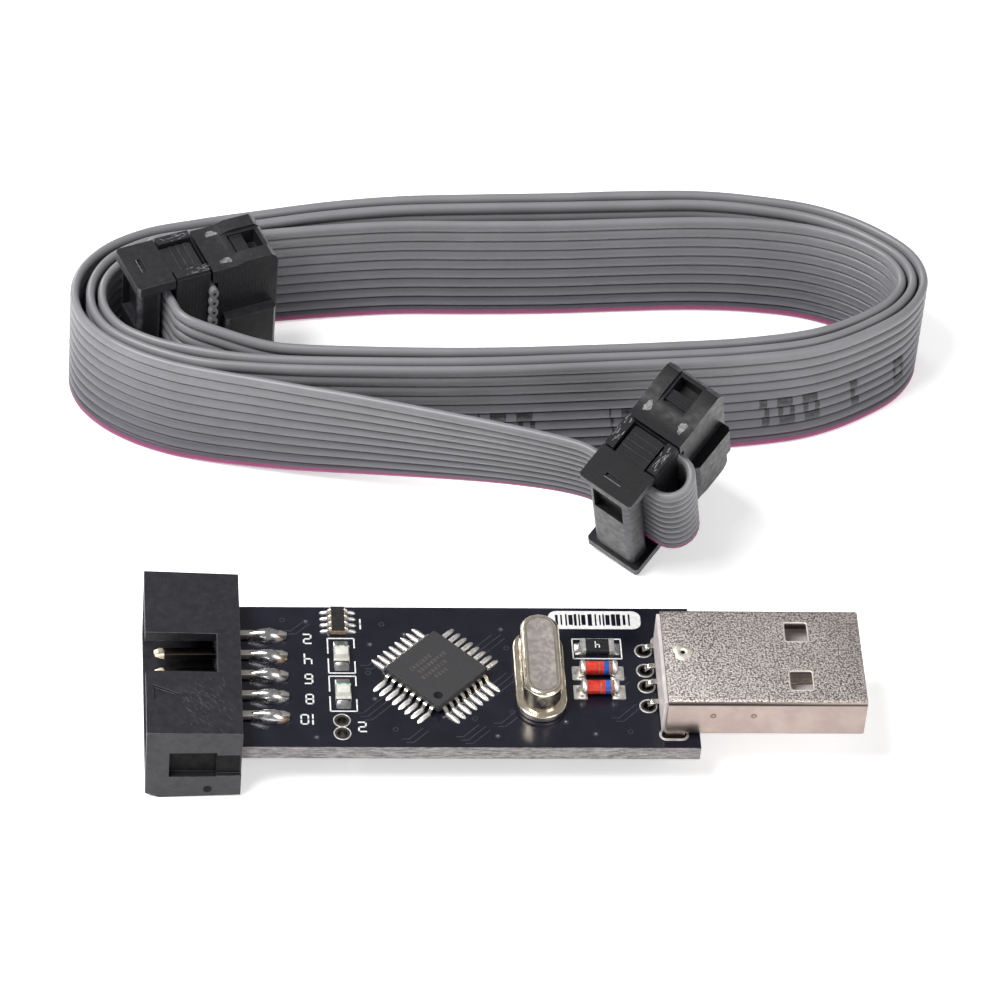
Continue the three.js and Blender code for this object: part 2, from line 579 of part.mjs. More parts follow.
/** The free ribbon, from socket A's way out to socket B's. */
function makeFreeRibbon(socketA, socketB) {
  const outOf = (socket, side, extra) => new THREE.Vector3(
    RELIEF_RIBBON_X, -side * (SOCKET.thickness / 2 + 0.3 + extra), 0,
  ).applyMatrix4(socket.matrix);
  const start = outOf(socketA, 1, SOCKET.gap);
  const end = outOf(socketB, -1, SOCKET.gap);
  const upB = new THREE.Vector3(0, 0, 1).transformDirection(socketB.matrix);

  const plan = [
    start.clone().setZ(0), ...ROUTE.map(([x, y]) => new THREE.Vector3(x, y, 0)),
    outOf(socketB, -1, 1.6).setZ(0), end.clone().setZ(0),
  ];
  const curve = new THREE.CatmullRomCurve3(plan, false, 'centripetal');
  curve.arcLengthDivisions = 4000;
  const length = curve.getLength();
  const leadAt = curve.getLengths(4000)[Math.round((LEAD_START / (plan.length - 1)) * 4000)];

  const heightAt = (s) => {
    const fromA = (start.z - TABLE_HEIGHT) * (1 - smooth(s / RISE_FROM_A));
    return TABLE_HEIGHT + fromA + (end.z - TABLE_HEIGHT) * leanAt(s);
  };
  const leanAt = (s) => smooth((s - leadAt) / (length - leadAt));

  const stretch = (name, from, to, steps) => {
    const line = [];
    const up = [];
    for (let i = 0; i <= steps; i += 1) {
      const s = from + ((to - from) * i) / steps;
      line.push(curve.getPointAt(s / length).setZ(heightAt(s)));
      up.push(new THREE.Vector3(0, 0, 1).lerp(upB, leanAt(s)).normalize());
    }
    place(cable, name, band(line, up), MATERIAL.ribbonGrey);
  };
  stretch('ribbon_coil', 0, leadAt - SOCKET.gap / 2, 180);
  stretch('ribbon_lead_b', leadAt + SOCKET.gap / 2, length, 24);
}

makePcb();
makeHeader();
makePins();
makeShell();
makeTongue();
makeChip();
makeCrystal();
makeTopParts();
makeUnderside();
const socketA = makeSocket('a', SOCKET_A);
const socketB = makeSocket('b', SOCKET_B);
makeTail('a', socketA, 1);
makeTail('b', socketB, -1);
makeFreeRibbon(socketA, socketB);

export default part;
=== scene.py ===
"""A USB microcontroller programmer and its coiled ribbon cable: the visual model.

Lengths are millimetres until a piece is settled into the frame, which is in metres.
"""
import math
import random

import bmesh
import bpy
import numpy as np
from mathutils import Matrix, Vector


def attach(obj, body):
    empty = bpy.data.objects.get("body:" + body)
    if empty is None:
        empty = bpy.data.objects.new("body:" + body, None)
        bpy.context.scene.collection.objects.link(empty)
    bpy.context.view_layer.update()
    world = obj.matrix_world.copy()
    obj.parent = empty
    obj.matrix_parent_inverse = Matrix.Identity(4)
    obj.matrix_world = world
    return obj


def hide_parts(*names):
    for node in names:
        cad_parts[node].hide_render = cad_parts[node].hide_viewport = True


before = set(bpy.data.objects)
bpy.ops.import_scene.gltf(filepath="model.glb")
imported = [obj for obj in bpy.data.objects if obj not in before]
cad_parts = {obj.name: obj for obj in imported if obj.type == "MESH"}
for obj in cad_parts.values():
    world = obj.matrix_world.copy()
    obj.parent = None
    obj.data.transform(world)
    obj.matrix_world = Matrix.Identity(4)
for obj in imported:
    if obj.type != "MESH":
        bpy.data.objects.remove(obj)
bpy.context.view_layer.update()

MM = 0.001
random.seed(7)

# ---------------------------------------------------------------- camera

VIEW = {"azimuth": -7.0, "elevation": 46.0, "roll": 5.4, "distance": 581.0, "target": (1.1, 23.6, 5.0)}


def make_camera():
    azimuth, elevation, roll = (math.radians(VIEW[k]) for k in ("azimuth", "elevation", "roll"))
    forward = Vector((
        -math.sin(azimuth) * math.cos(elevation),
        math.cos(azimuth) * math.cos(elevation),
        -math.sin(elevation),
    ))
    level = Vector((math.cos(azimuth), math.sin(azimuth), 0))
    upright = level.cross(forward)
    right = level * math.cos(roll) + upright * math.sin(roll)
    up = upright * math.cos(roll) - level * math.sin(roll)
    data = bpy.data.cameras.new("camera")
    data.sensor_width = 36
    data.lens = 216
    data.clip_start, data.clip_end = 0.05, 10
    camera = bpy.data.objects.new("camera", data)
    turned = Matrix((right, up, -forward)).transposed().to_4x4()
    place = (Vector(VIEW["target"]) - forward * VIEW["distance"]) * MM
    camera.matrix_world = Matrix.Translation(place) @ turned
    bpy.context.scene.collection.objects.link(camera)
    bpy.context.scene.camera = camera


make_camera()

# ---------------------------------------------------------------- where the groups stand

MIDDLE = 24.7  # from the board's left edge to the frame's origin
BOARD = Matrix.Translation((-MIDDLE, 0, 4.5))
TOP = 0.8  # the board's upper face, from its middle plane


def socket_frame(x, y, z, heading, pitch, roll):
    turn = (
        Matrix.Rotation(math.radians(heading), 4, "Z")
        @ Matrix.Rotation(math.radians(pitch), 4, "Y")
        @ Matrix.Rotation(math.radians(roll), 4, "X")
    )
    return Matrix.Translation((x - MIDDLE, y, z)) @ turn


SOCKET_A = socket_frame(-10.3, 42.6, 8.65, 21.3, 0, 0)
SOCKET_B = socket_frame(35.6, 17.0, 8.42, 48, -21, 7.5)
SOCKET_HALF = 3.05  # half of a socket's thickness

# ---------------------------------------------------------------- materials


class Surface:
    """A material whose nodes are added by short calls. Textures are in millimetres.

    turn is the matrix of a group that stands askew, so that its textures follow its own axes.
    """

    def __init__(self, name, turn=None, **values):
        self.turn = turn
        self.material = bpy.data.materials.new(name)
        self.material.use_nodes = True
        self.tree = self.material.node_tree
        self.shader = self.tree.nodes["Principled BSDF"]
        for socket, value in values.items():
            self.set(socket.replace("_", " "), value)

    def set(self, socket, value):
        self.wire(value, self.shader.inputs[socket])

    def wire(self, value, socket):
        if isinstance(value, bpy.types.NodeSocket):
            self.tree.links.new(value, socket)
        elif isinstance(value, tuple) and len(value) == 3 and len(socket.default_value) == 4:
            socket.default_value = (*value, 1)
        else:
            socket.default_value = value

    def node(self, kind, **settings):
        node = self.tree.nodes.new("ShaderNode" + kind)
        for key, value in settings.items():
            setattr(node, key, value)
        return node

    def own(self, source):
        """A texture coordinate along the group's own axes."""
        value = self.node("TexCoord").outputs[source]
        if self.turn is None:
            return value
        mapping = self.node("Mapping")
        mapping.inputs["Rotation"].default_value = self.turn.to_3x3().inverted().to_euler()
        self.wire(value, mapping.inputs["Vector"])
        return mapping.outputs[0]

    def place(self, stretch=(1, 1, 1)):
        """Where a point is on the piece, in millimetres, each axis stretched."""
        mapping = self.node("Mapping")
        mapping.inputs["Scale"].default_value = [s / MM for s in stretch]
        self.wire(self.own("Object"), mapping.inputs["Vector"])
        return mapping.outputs[0]

    def edges(self):
        """1 along the rounded edges of a square-cut piece and 0 on its flat faces."""
        split = self.node("SeparateXYZ")
        self.wire(self.own("Normal"), split.inputs[0])
        x, y, z = (self.math("ABSOLUTE", out) for out in split.outputs)
        return self.span(self.math("MAXIMUM", x, self.math("MAXIMUM", y, z)), 0.86, 0.985, 1, 0)

    def noise(self, scale, detail, rough=0.55, stretch=(1, 1, 1)):
        node = self.node("TexNoise")
        self.wire(self.place(stretch), node.inputs["Vector"])
        node.inputs["Scale"].default_value = scale
        node.inputs["Detail"].default_value = detail
        node.inputs["Roughness"].default_value = rough
        return node.outputs[0]

    def span(self, value, low, high, to_low=0.0, to_high=1.0):
        node = self.node("MapRange")
        for socket, v in zip(node.inputs, (value, low, high, to_low, to_high)):
            self.wire(v, socket)
        return node.outputs[0]

    def math(self, operation, a, b=0.0):
        node = self.node("Math", operation=operation)
        self.wire(a, node.inputs[0])
        self.wire(b, node.inputs[1])
        return node.outputs[0]

    def times(self, a, b):
        return self.math("MULTIPLY", a, b)

    def within(self, value, low, high):
        """1 where value lies between low and high, and 0 elsewhere."""
        return self.times(self.math("GREATER_THAN", value, low), self.math("LESS_THAN", value, high))

    def patches(self, scale, detail, low=0.0, high=1.0):
        """Soft patches of noise that run from low to high."""
        return self.span(self.noise(scale, detail), 0.3, 0.7, low, high)

    def mix(self, factor, a, b):
        node = self.node("Mix", data_type="RGBA")
        self.wire(factor, node.inputs[0])
        self.wire(a, node.inputs[6])
        self.wire(b, node.inputs[7])
        return node.outputs[2]

    def shaded(self, factor, colour, level):
        """A colour brought to a level of its brightness where factor is 1."""
        node = self.node("Mix", data_type="RGBA", blend_type="MULTIPLY")
        self.wire(factor, node.inputs[0])
        self.wire(colour, node.inputs[6])
        self.wire((level, level, level), node.inputs[7])
        return node.outputs[2]

    def part_of(self, name, source="Object"):
        """One coordinate of the piece: of its place in metres, its normal or its UV map."""
        split = self.node("SeparateXYZ")
        self.wire(self.node("TexCoord").outputs[source], split.inputs[0])
        return split.outputs[name]

    def bump(self, height, depth, strength):
        node = self.node("Bump")
        node.inputs["Strength"].default_value = strength
        node.inputs["Distance"].default_value = depth * MM
        self.wire(height, node.inputs["Height"])
        self.set("Normal", node.outputs[0])


def mask_surface():
    """Glossy black mask above and below, sawn laminate at the edges."""
    s = Surface("solder_mask", Specular_IOR_Level=0.5)
    cloud = s.patches(0.35, 4)
    dust = s.span(s.noise(5.5, 2, 0.7), 0.74, 0.8)
    face = s.mix(cloud, (0.005, 0.005, 0.010), (0.010, 0.010, 0.019))
    face = s.mix(s.times(dust, 0.35), face, (0.25, 0.25, 0.27))
    fibre = s.span(s.noise(1.0, 5, 0.7, (1.1, 1.1, 7)), 0.33, 0.66)
    edge = s.mix(fibre, (0.045, 0.040, 0.042), (0.36, 0.335, 0.335))
    flat = s.span(s.math("ABSOLUTE", s.part_of("Z", "Normal")), 0.5, 0.6)
    s.set("Base Color", s.mix(flat, edge, face))
    s.set("Roughness", s.span(flat, 0, 1, 0.75, 0.2))
    s.bump(s.mix(flat, fibre, s.noise(0.8, 2)), 0.03, 0.5)
    return s.material


def plastic_surface(name, dark, light, rough, turn=None, ribs=0.0, ends=1.0):
    """Moulded black plastic: fine grain, paler rubbed blotches, edges and hair scratches.

    ends scales the colour and gloss of the faces across the group's own Z axis beside the others: painted
    shade below 1, painted light above 1.
    """
    s = Surface(name, turn)
    rubbed = s.span(s.noise(1.5, 6, 0.65), 0.5, 0.72)
    scratch = s.span(s.noise(1.6, 4, 0.75, (0.25, 2.2, 1)), 0.66, 0.71)
    worn = s.math("MAXIMUM", s.times(rubbed, 0.35), s.times(scratch, 0.8))
    rim = s.times(s.edges(), s.span(s.noise(1.3, 4), 0.36, 0.6, 0.25, 1.0))
    face = s.mix(worn, dark, light)
    face = s.mix(rim, face, tuple(2.4 * c for c in light))
    split = s.node("SeparateXYZ")
    s.wire(s.own("Normal"), split.inputs[0])
    # painted light and shade: the faces across the group's Z axis, the top faces among them, brightened or
    # darkened by ends
    across = s.span(s.math("ABSOLUTE", split.outputs["Z"]), 0.85, 0.95)
    s.set("Base Color", s.shaded(across, face, ends))
    s.set("Specular IOR Level", s.span(across, 0, 1, 0.45, 0.45 * ends))
    s.set("Roughness", s.patches(1.4, 4, rough - 0.08, rough + 0.12))
    grain = s.noise(11, 2)
    if ribs:
        lines = s.node("TexWave", bands_direction="X")
        s.wire(s.place(), lines.inputs["Vector"])
        lines.inputs["Scale"].default_value = 0.9
        lines.inputs["Distortion"].default_value = 1.2
        grain = s.math("ADD", grain, s.times(lines.outputs["Fac"], ribs))
    s.bump(grain, 0.02, 0.6)
    return s.material


def metal_surface(name, dark, light, rough, grain, depth=0.008):
    s = Surface(name, Metallic=1.0)
    patch = s.span(s.noise(grain, 5, 0.6), 0.32, 0.68)
    s.set("Base Color", s.mix(patch, dark, light))
    s.set("Roughness", s.patches(grain * 2, 3, rough - 0.06, rough + 0.1))
    s.bump(s.noise(grain * 6, 3), depth, 0.5)
    return s.material


def shell_surface():
    """Grained nickel on the plug's wide faces, smoother and pinker round its sides, with a painted dark
    reflection along the rounded bends between them.
    """
    s = Surface("nickel_shell", Metallic=1.0)
    grain = s.span(s.noise(5.4, 2.5, 0.6), 0.40, 0.58)
    broad = s.patches(0.14, 3)
    wide = s.mix(grain, (0.16, 0.13, 0.12), (1.0, 0.92, 0.88))
    wide = s.mix(s.times(broad, 0.3), wide, (0.76, 0.68, 0.66))
    narrow = s.mix(s.patches(0.5, 4), (0.30, 0.237, 0.215), (0.375, 0.305, 0.275))
    level = s.math("ABSOLUTE", s.part_of("Z", "Normal"))
    flat = s.span(level, 0.8, 0.95)
    # painted reflection: a dark band laid along the middle of each rounded bend
    painted_dark_reflection = s.times(s.span(level, 0.25, 0.38), s.span(level, 0.62, 0.75, 1, 0))
    s.set("Base Color", s.mix(painted_dark_reflection, s.mix(flat, narrow, wide), (0.11, 0.09, 0.08)))
    s.set("Roughness", s.span(s.times(flat, grain), 0, 1, 0.3, 0.44))
    s.bump(s.times(flat, grain), 0.03, 0.9)
    return s.material


def solder_surface():
    """Bright solder, browned by flux where it runs out on the board."""
    s = Surface("solder", Metallic=1.0)
    toes = s.span(s.part_of("X"), -21.3 * MM, -20.5 * MM)
    burnt = s.times(toes, s.span(s.noise(1.3, 3), 0.45, 0.62))
    near_header = s.span(s.part_of("X"), -19.0 * MM, -18.8 * MM, 1, 0)
    clean = s.mix(s.noise(0.9, 4), (0.40, 0.39, 0.39), (0.74, 0.73, 0.73))
    s.set("Base Color", s.mix(s.times(burnt, near_header), clean, (0.50, 0.27, 0.13)))
    s.set("Roughness", s.patches(1.8, 3, 0.14, 0.34))
    s.bump(s.noise(2.4, 3), 0.03, 0.6)
    return s.material


PIN_TIPS_END, PIN_BOARD_SIDE = -31.7, -25.5  # along X in the frame


def pin_surface():
    """Square pins: cream at the tips, dark with painted shade inside the header, grey on the board side."""
    s = Surface("header_pins_shaded_inside", Metallic=1.0)
    # painted shade: the pins darkened where they run inside the header
    inside = s.span(s.part_of("X"), (PIN_TIPS_END - 0.1) * MM, PIN_TIPS_END * MM)
    beyond = s.span(s.part_of("X"), (PIN_BOARD_SIDE - 0.1) * MM, (PIN_BOARD_SIDE + 0.1) * MM)
    tip = s.mix(s.noise(1.2, 4), (0.74, 0.66, 0.46), (0.93, 0.87, 0.70))
    s.set("Base Color", s.mix(beyond, s.mix(inside, tip, (0.03, 0.025, 0.02)), (0.62, 0.60, 0.56)))
    s.set("Roughness", s.patches(2.4, 3, 0.34, 0.46))
    return s.material


CELL = 2.6  # the pitch of the ribbon's printed bars
LEGEND = {"from": 407.0, "to": 452.0, "repeat": 15.0, "length": 10.5}  # where along it they stand
STRIPE = 0.31  # how far round from its foot the edge conductor is coloured, of a whole turn
INK = {"bars": ((0, 1.6),), "posts": ((0, 0.5), (1.2, 1.7))}


def ribbon_surface(name, kind="plain"):
    """Satin PVC, with painted shade that makes it darker and bluer towards the floor. The UV map holds the
    way along in mm and the way round from 0 to 1.
    """
    s = Surface(name, Roughness=0.40, Specular_IOR_Level=0.5)
    # painted shade: darker and bluer towards the floor, lighter towards the top
    height = s.span(s.part_of("Z"), 0.5 * MM, 12 * MM)
    base = s.mix(height, RIBBON_SHADE_LOW, RIBBON_LIT_HIGH)
    base = s.shaded(s.patches(0.22, 5), base, 0.88)
    along, round_it = s.part_of("X", "UV"), s.part_of("Y", "UV")
    if kind in INK:
        # plain bars in place of a printed legend, on the outer face of one stretch
        outer = s.math("GREATER_THAN", round_it, 0.5)
        here = s.math("MODULO", along, CELL)
        strokes = 0.0
        for low, high in INK[kind]:
            strokes = s.math("MAXIMUM", s.within(here, low, high), strokes)
        chance = s.node("TexWhiteNoise", noise_dimensions="1D")
        s.wire(s.math("FLOOR", s.math("DIVIDE", along, CELL)), chance.inputs["W"])
        kept = s.math("GREATER_THAN", chance.outputs["Value"], 0.2)
        line = s.math("LESS_THAN", s.math("MODULO", along, LEGEND["repeat"]), LEGEND["length"])
        group = s.times(s.within(along, LEGEND["from"], LEGEND["to"]), line)
        ink = s.times(s.times(outer, strokes), s.times(group, kept))
        speckle = s.span(s.noise(4.0, 3), 0.35, 0.5, 0.6, 0.95)
        base = s.mix(s.times(ink, speckle), base, (0.012, 0.012, 0.014))
    if kind == "striped":
        lower = s.math("LESS_THAN", s.math("ABSOLUTE", s.math("SUBTRACT", round_it, 0.5)), STRIPE)
        base = s.mix(lower, base, s.mix(s.noise(0.5, 3), (0.17, 0.008, 0.07), (0.24, 0.016, 0.11)))
    s.set("Base Color", base)
    s.bump(s.noise(3.0, 3), 0.01, 0.4)
    return s.material


def soft_surface(name, dark, light, rough, scale, depth=0.01, **values):
    """A non-metal with a mottled colour and a fine uneven face."""
    s = Surface(name, **values)
    s.set("Base Color", s.mix(s.patches(scale, 4), dark, light))
    s.set("Roughness", s.patches(scale * 1.7, 3, rough - 0.06, rough + 0.08))
    s.bump(s.noise(scale * 5, 2), depth, 0.5)
    return s.material


MASK = mask_surface()
TRACE = soft_surface("mask_over_copper", (0.020, 0.020, 0.032), (0.034, 0.034, 0.05), 0.25, 0.8)
SHROUD = plastic_surface("header_plastic", (0.010, 0.010, 0.0136), (0.034, 0.033, 0.040), 0.46)
# socket A's faces across its Z axis get painted light (ends 1.1), socket B's get painted shade (ends 0.45)
BLACK_A = plastic_surface("socket_plastic_a", (0.011, 0.011, 0.013), (0.034, 0.033, 0.037), 0.40, SOCKET_A,
                          ribs=0.35, ends=1.1)
BLACK_B = plastic_surface("socket_plastic_b", (0.0075, 0.0075, 0.010), (0.024, 0.023, 0.028), 0.40, SOCKET_B,
                          ribs=0.15, ends=0.45)
SCUFF = soft_surface("scuffed_plastic", (0.05, 0.05, 0.052), (0.26, 0.26, 0.26), 0.45, 3.5, 0.04)
SCRATCH = soft_surface("header_scratch", (0.03, 0.03, 0.033), (0.11, 0.11, 0.115), 0.5, 3.5, 0.04)
# painted shade: a dark matte sheet laid in hollows, recesses and holes
PAINTED_SHADE_PLASTIC = soft_surface("painted_shade_plastic", (0.006, 0.006, 0.007), (0.014, 0.014, 0.015), 0.7, 1.0,
                      Specular_IOR_Level=0.1)
NICKEL = shell_surface()
CRYSTAL = metal_surface("crystal_case", (0.86, 0.76, 0.71), (0.99, 0.90, 0.85), 0.34, 1.1)
RIM = metal_surface("crystal_rim", (0.72, 0.63, 0.48), (0.90, 0.82, 0.68), 0.16, 0.9)
SOLDER = solder_surface()
TIN = metal_surface("tinned_lead", (0.60, 0.58, 0.53), (0.90, 0.87, 0.80), 0.20, 1.6)
GOLD = metal_surface("contact_gold", (0.74, 0.66, 0.46), (0.93, 0.87, 0.70), 0.26, 1.2)
BURR = metal_surface("punched_burr", (0.86, 0.80, 0.70), (1.0, 0.96, 0.88), 0.5, 1.6, 0.04)
# painted shade: the plated walls of the holes made dark, as holes seen in shadow
SHADED_BARREL_METAL = metal_surface("plated_hole", (0.05, 0.045, 0.042), (0.17, 0.155, 0.14), 0.4, 1.4)
WHITE = soft_surface("white_plastic", (0.50, 0.46, 0.46), (0.66, 0.61, 0.61), 0.42, 0.9)
EPOXY = soft_surface("chip_epoxy", (0.022, 0.022, 0.024), (0.036, 0.035, 0.037), 0.5, 7.0, 0.03)
GLAZE = soft_surface("resistor_glaze", (0.012, 0.012, 0.013), (0.022, 0.022, 0.023), 0.25, 2.0)
CERAMIC = soft_surface("white_ceramic", (0.62, 0.61, 0.57), (0.80, 0.79, 0.75), 0.4, 3.0)
TAN = soft_surface("tan_ceramic", (0.26, 0.17, 0.10), (0.36, 0.25, 0.16), 0.4, 3.0)
LENS = soft_surface("lamp_lens", (0.50, 0.50, 0.45), (0.66, 0.66, 0.60), 0.16, 1.6, Coat_Weight=0.6)
GREEN = soft_surface("lamp_mark", (0.0, 0.22, 0.13), (0.02, 0.40, 0.26), 0.3, 3.0)
RED_GLASS = soft_surface("red_glass", (0.30, 0.01, 0.01), (0.75, 0.06, 0.03), 0.1, 1.4, Coat_Weight=1.0)
BLUE_BAND = soft_surface("blue_band", (0.01, 0.05, 0.26), (0.02, 0.13, 0.52), 0.14, 2.0, Coat_Weight=1.0)
SILK = soft_surface("silkscreen", (0.60, 0.60, 0.59), (0.82, 0.82, 0.81), 0.6, 3.0, 0.03)
ETCH = soft_surface("laser_mark", (0.045, 0.038, 0.037), (0.085, 0.070, 0.068), 0.6, 3.0)
AMBER = soft_surface("diode_inside", (0.22, 0.05, 0.03), (0.42, 0.22, 0.14), 0.15, 2.0, Coat_Weight=1.0)
COPPER = metal_surface("copper_core", (0.04, 0.032, 0.028), (0.13, 0.09, 0.07), 0.4, 3.0)
RIBBON_SHADE_LOW, RIBBON_LIT_HIGH = (0.062, 0.060, 0.074), (0.208, 0.206, 0.218)  # painted shade by the floor and painted light at the top
GREY = ribbon_surface("ribbon_grey")
GREY_BARS = ribbon_surface("ribbon_bars", "bars")
GREY_POSTS = ribbon_surface("ribbon_posts", "posts")
MAGENTA = ribbon_surface("ribbon_magenta", "striped")
PINS = pin_surface()
CAPS = metal_surface("tinned_cap", (0.85, 0.83, 0.80), (1.0, 0.98, 0.95), 0.42, 1.6)
STAIN = metal_surface("stained_dimple", (0.20, 0.13, 0.09), (0.34, 0.23, 0.17), 0.4, 2.0)

# ---------------------------------------------------------------- shapes, in millimetres


def shape(points, faces):
    mesh = bpy.data.meshes.new("shape")
    mesh.from_pydata([tuple(p) for p in points], [], [tuple(f) for f in faces])
    piece = bpy.data.objects.new("shape", mesh)
    bpy.context.scene.collection.objects.link(piece)
    return piece


def hooped(rings):
    """A skin over rings of points that also runs from the last ring back to the first."""
    n, m = len(rings[0]), len(rings)
    faces = [
        (n * i + k, n * i + (k + 1) % n, n * ((i + 1) % m) + (k + 1) % n, n * ((i + 1) % m) + k)
        for i in range(m) for k in range(n)
    ]
    piece = shape([p for ring in rings for p in ring], faces)
    outwards(piece)
    return piece


def lofted(rings):
    """A skin over rings of points, all with the same count, each ring closed on itself."""
    n = len(rings[0])
    points = [p for ring in rings for p in ring]
    faces = [
        (n * i + k, n * i + (k + 1) % n, n * (i + 1) + (k + 1) % n, n * (i + 1) + k)
        for i in range(len(rings) - 1) for k in range(n)
    ]
    faces += [tuple(reversed(range(n))), tuple(range(len(points) - n, len(points)))]
    piece = shape(points, faces)
    outwards(piece)
    return piece


def outwards(piece):
    work = bmesh.new()
    work.from_mesh(piece.data)
    bmesh.ops.recalc_face_normals(work, faces=work.faces)
    work.to_mesh(piece.data)
    work.free()


def pulled(outline, low, high, axis="Z"):
    """An outline pulled from low to high: in XY along Z or in XZ along Y."""
    return lofted([[(a, c, b) if axis == "Y" else (a, b, c) for a, b in outline] for c in (low, high)])


def block(low, high):
    (x0, y0, z0), (x1, y1, z1) = low, high
    return pulled([(x0, y0), (x1, y0), (x1, y1), (x0, y1)], z0, z1)


def rounded(x, y, length, width, radius, steps=5):
    """The outline of a rectangle about (x, y) with round corners."""
    points = []
    for quarter, (sx, sy) in enumerate([(1, 1), (-1, 1), (-1, -1), (1, -1)]):
        cx, cy = x + sx * (length / 2 - radius), y + sy * (width / 2 - radius)
        for i in range(steps + 1):
            a = math.pi / 2 * (quarter + i / steps)
            points.append((cx + radius * math.cos(a), cy + radius * math.sin(a)))
    return points


def stacked(levels):
    """Outlines at rising heights: (outline, z) each."""
    return lofted([[(x, y, z) for x, y in outline] for outline, z in levels])


def turned(profile, centre, axis="Z", steps=28):
    """A profile of (radius, height) turned round an axis through centre."""
    rings = []
    for radius, height in profile:
        ring = []
        for i in range(steps):
            a = 2 * math.pi * i / steps
            u, v = radius * math.cos(a), radius * math.sin(a)
            ring.append({"Z": (u, v, height), "X": (height, u, v), "Y": (u, height, v)}[axis])
        rings.append([tuple(c + p for c, p in zip(centre, point)) for point in ring])
    return lofted(rings)


def washer(x, y, inner, outer, low, high, steps=32):
    circle = [(math.cos(2 * math.pi * i / steps), math.sin(2 * math.pi * i / steps)) for i in range(steps)]
    profile = [(inner, low), (outer, low), (outer - 0.02, high), (inner + 0.02, high)]
    return hooped([[(x + r * u, y + r * v, z) for u, v in circle] for r, z in profile])


def lump(sections):
    """A solder lump along X: (x, y, half width, height, base z) each, domed on a flat base."""
    rings = []
    for x, y, half, height, base in sections:
        ring = [(x, y + half * math.cos(a), base + height * math.sin(a))
                for a in [math.pi * i / 12 for i in range(13)]]
        rings.append([(x, y + half, base - 0.02), *ring, (x, y - half, base - 0.02)])
    return lofted(rings)


def joined(pieces):
    """Several shapes as one, left separate in the mesh."""
    work = bmesh.new()
    for piece in pieces:
        work.from_mesh(piece.data)
    mesh = bpy.data.meshes.new("shape")
    work.to_mesh(mesh)
    work.free()
    for piece in pieces:
        drop(piece)
    whole = bpy.data.objects.new("shape", mesh)
    bpy.context.scene.collection.objects.link(whole)
    return whole


def drop(piece):
    mesh = piece.data
    bpy.data.objects.remove(piece)
    bpy.data.meshes.remove(mesh)


def moved(piece, matrix):
    piece.data.transform(matrix)
    return piece


def carved(base, tools, operation="DIFFERENCE"):
    """base with each tool cut away from it, or joined to it."""
    for tool in tools:
        cutter = base.modifiers.new("carve", "BOOLEAN")
        cutter.operation, cutter.solver, cutter.object = operation, "EXACT", tool
        bpy.context.view_layer.update()
        result = bpy.data.meshes.new_from_object(base.evaluated_get(bpy.context.evaluated_depsgraph_get()))
        base.modifiers.remove(cutter)
        old, base.data = base.data, result
        bpy.data.meshes.remove(old)
        drop(tool)
    return base


def softened(piece, width, segments, angle=32):
    bevel = piece.modifiers.new("edges", "BEVEL")
    bevel.width, bevel.segments = width * MM, segments
    bevel.limit_method, bevel.angle_limit = "ANGLE", math.radians(angle)
    bevel.harden_normals = True
    bevel.use_clamp_overlap = True


def tinted(piece, index):
    """Gives every face of a shape one of its piece's materials, by number."""
    piece.data.polygons.foreach_set("material_index", [index] * len(piece.data.polygons))
    return piece


def settled(piece, name, material, body="board", place=BOARD, bevel=0.0, segments=2, smooth=35,
            finer=0, replaces=(), *, slot):
    """Names a shape, puts it in the frame in metres, and gives it its material and body."""
    piece.name = piece.data.name = name
    piece.data.transform(Matrix.Scale(MM, 4) @ place)
    for m in material if isinstance(material, list) else [material]:
        piece.data.materials.append(m)
    piece.data.polygons.foreach_set("use_smooth", [True] * len(piece.data.polygons))
    piece.data.set_sharp_from_angle(angle=math.radians(smooth))
    if bevel:
        softened(piece, bevel, segments)
    if finer:
        piece.modifiers.new("finer", "SUBSURF").levels = finer
        piece.modifiers["finer"].render_levels = finer
    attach(piece, body)
    if replaces:
        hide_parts(*replaces)
    return piece


def dressed(node, material, bevel, segments=2):
    """A CAD node keeps its shape and gets its material and fine edges."""
    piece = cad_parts[node]
    piece.data.materials.clear()
    piece.data.materials.append(material)
    weld = piece.modifiers.new("weld", "WELD")
    weld.merge_threshold = 0.002 * MM
    flat = piece.modifiers.new("flat", "DECIMATE")
    flat.decimate_type, flat.angle_limit = "DISSOLVE", math.radians(0.5)
    softened(piece, bevel, segments, 25)


# ---------------------------------------------------------------- ribbon

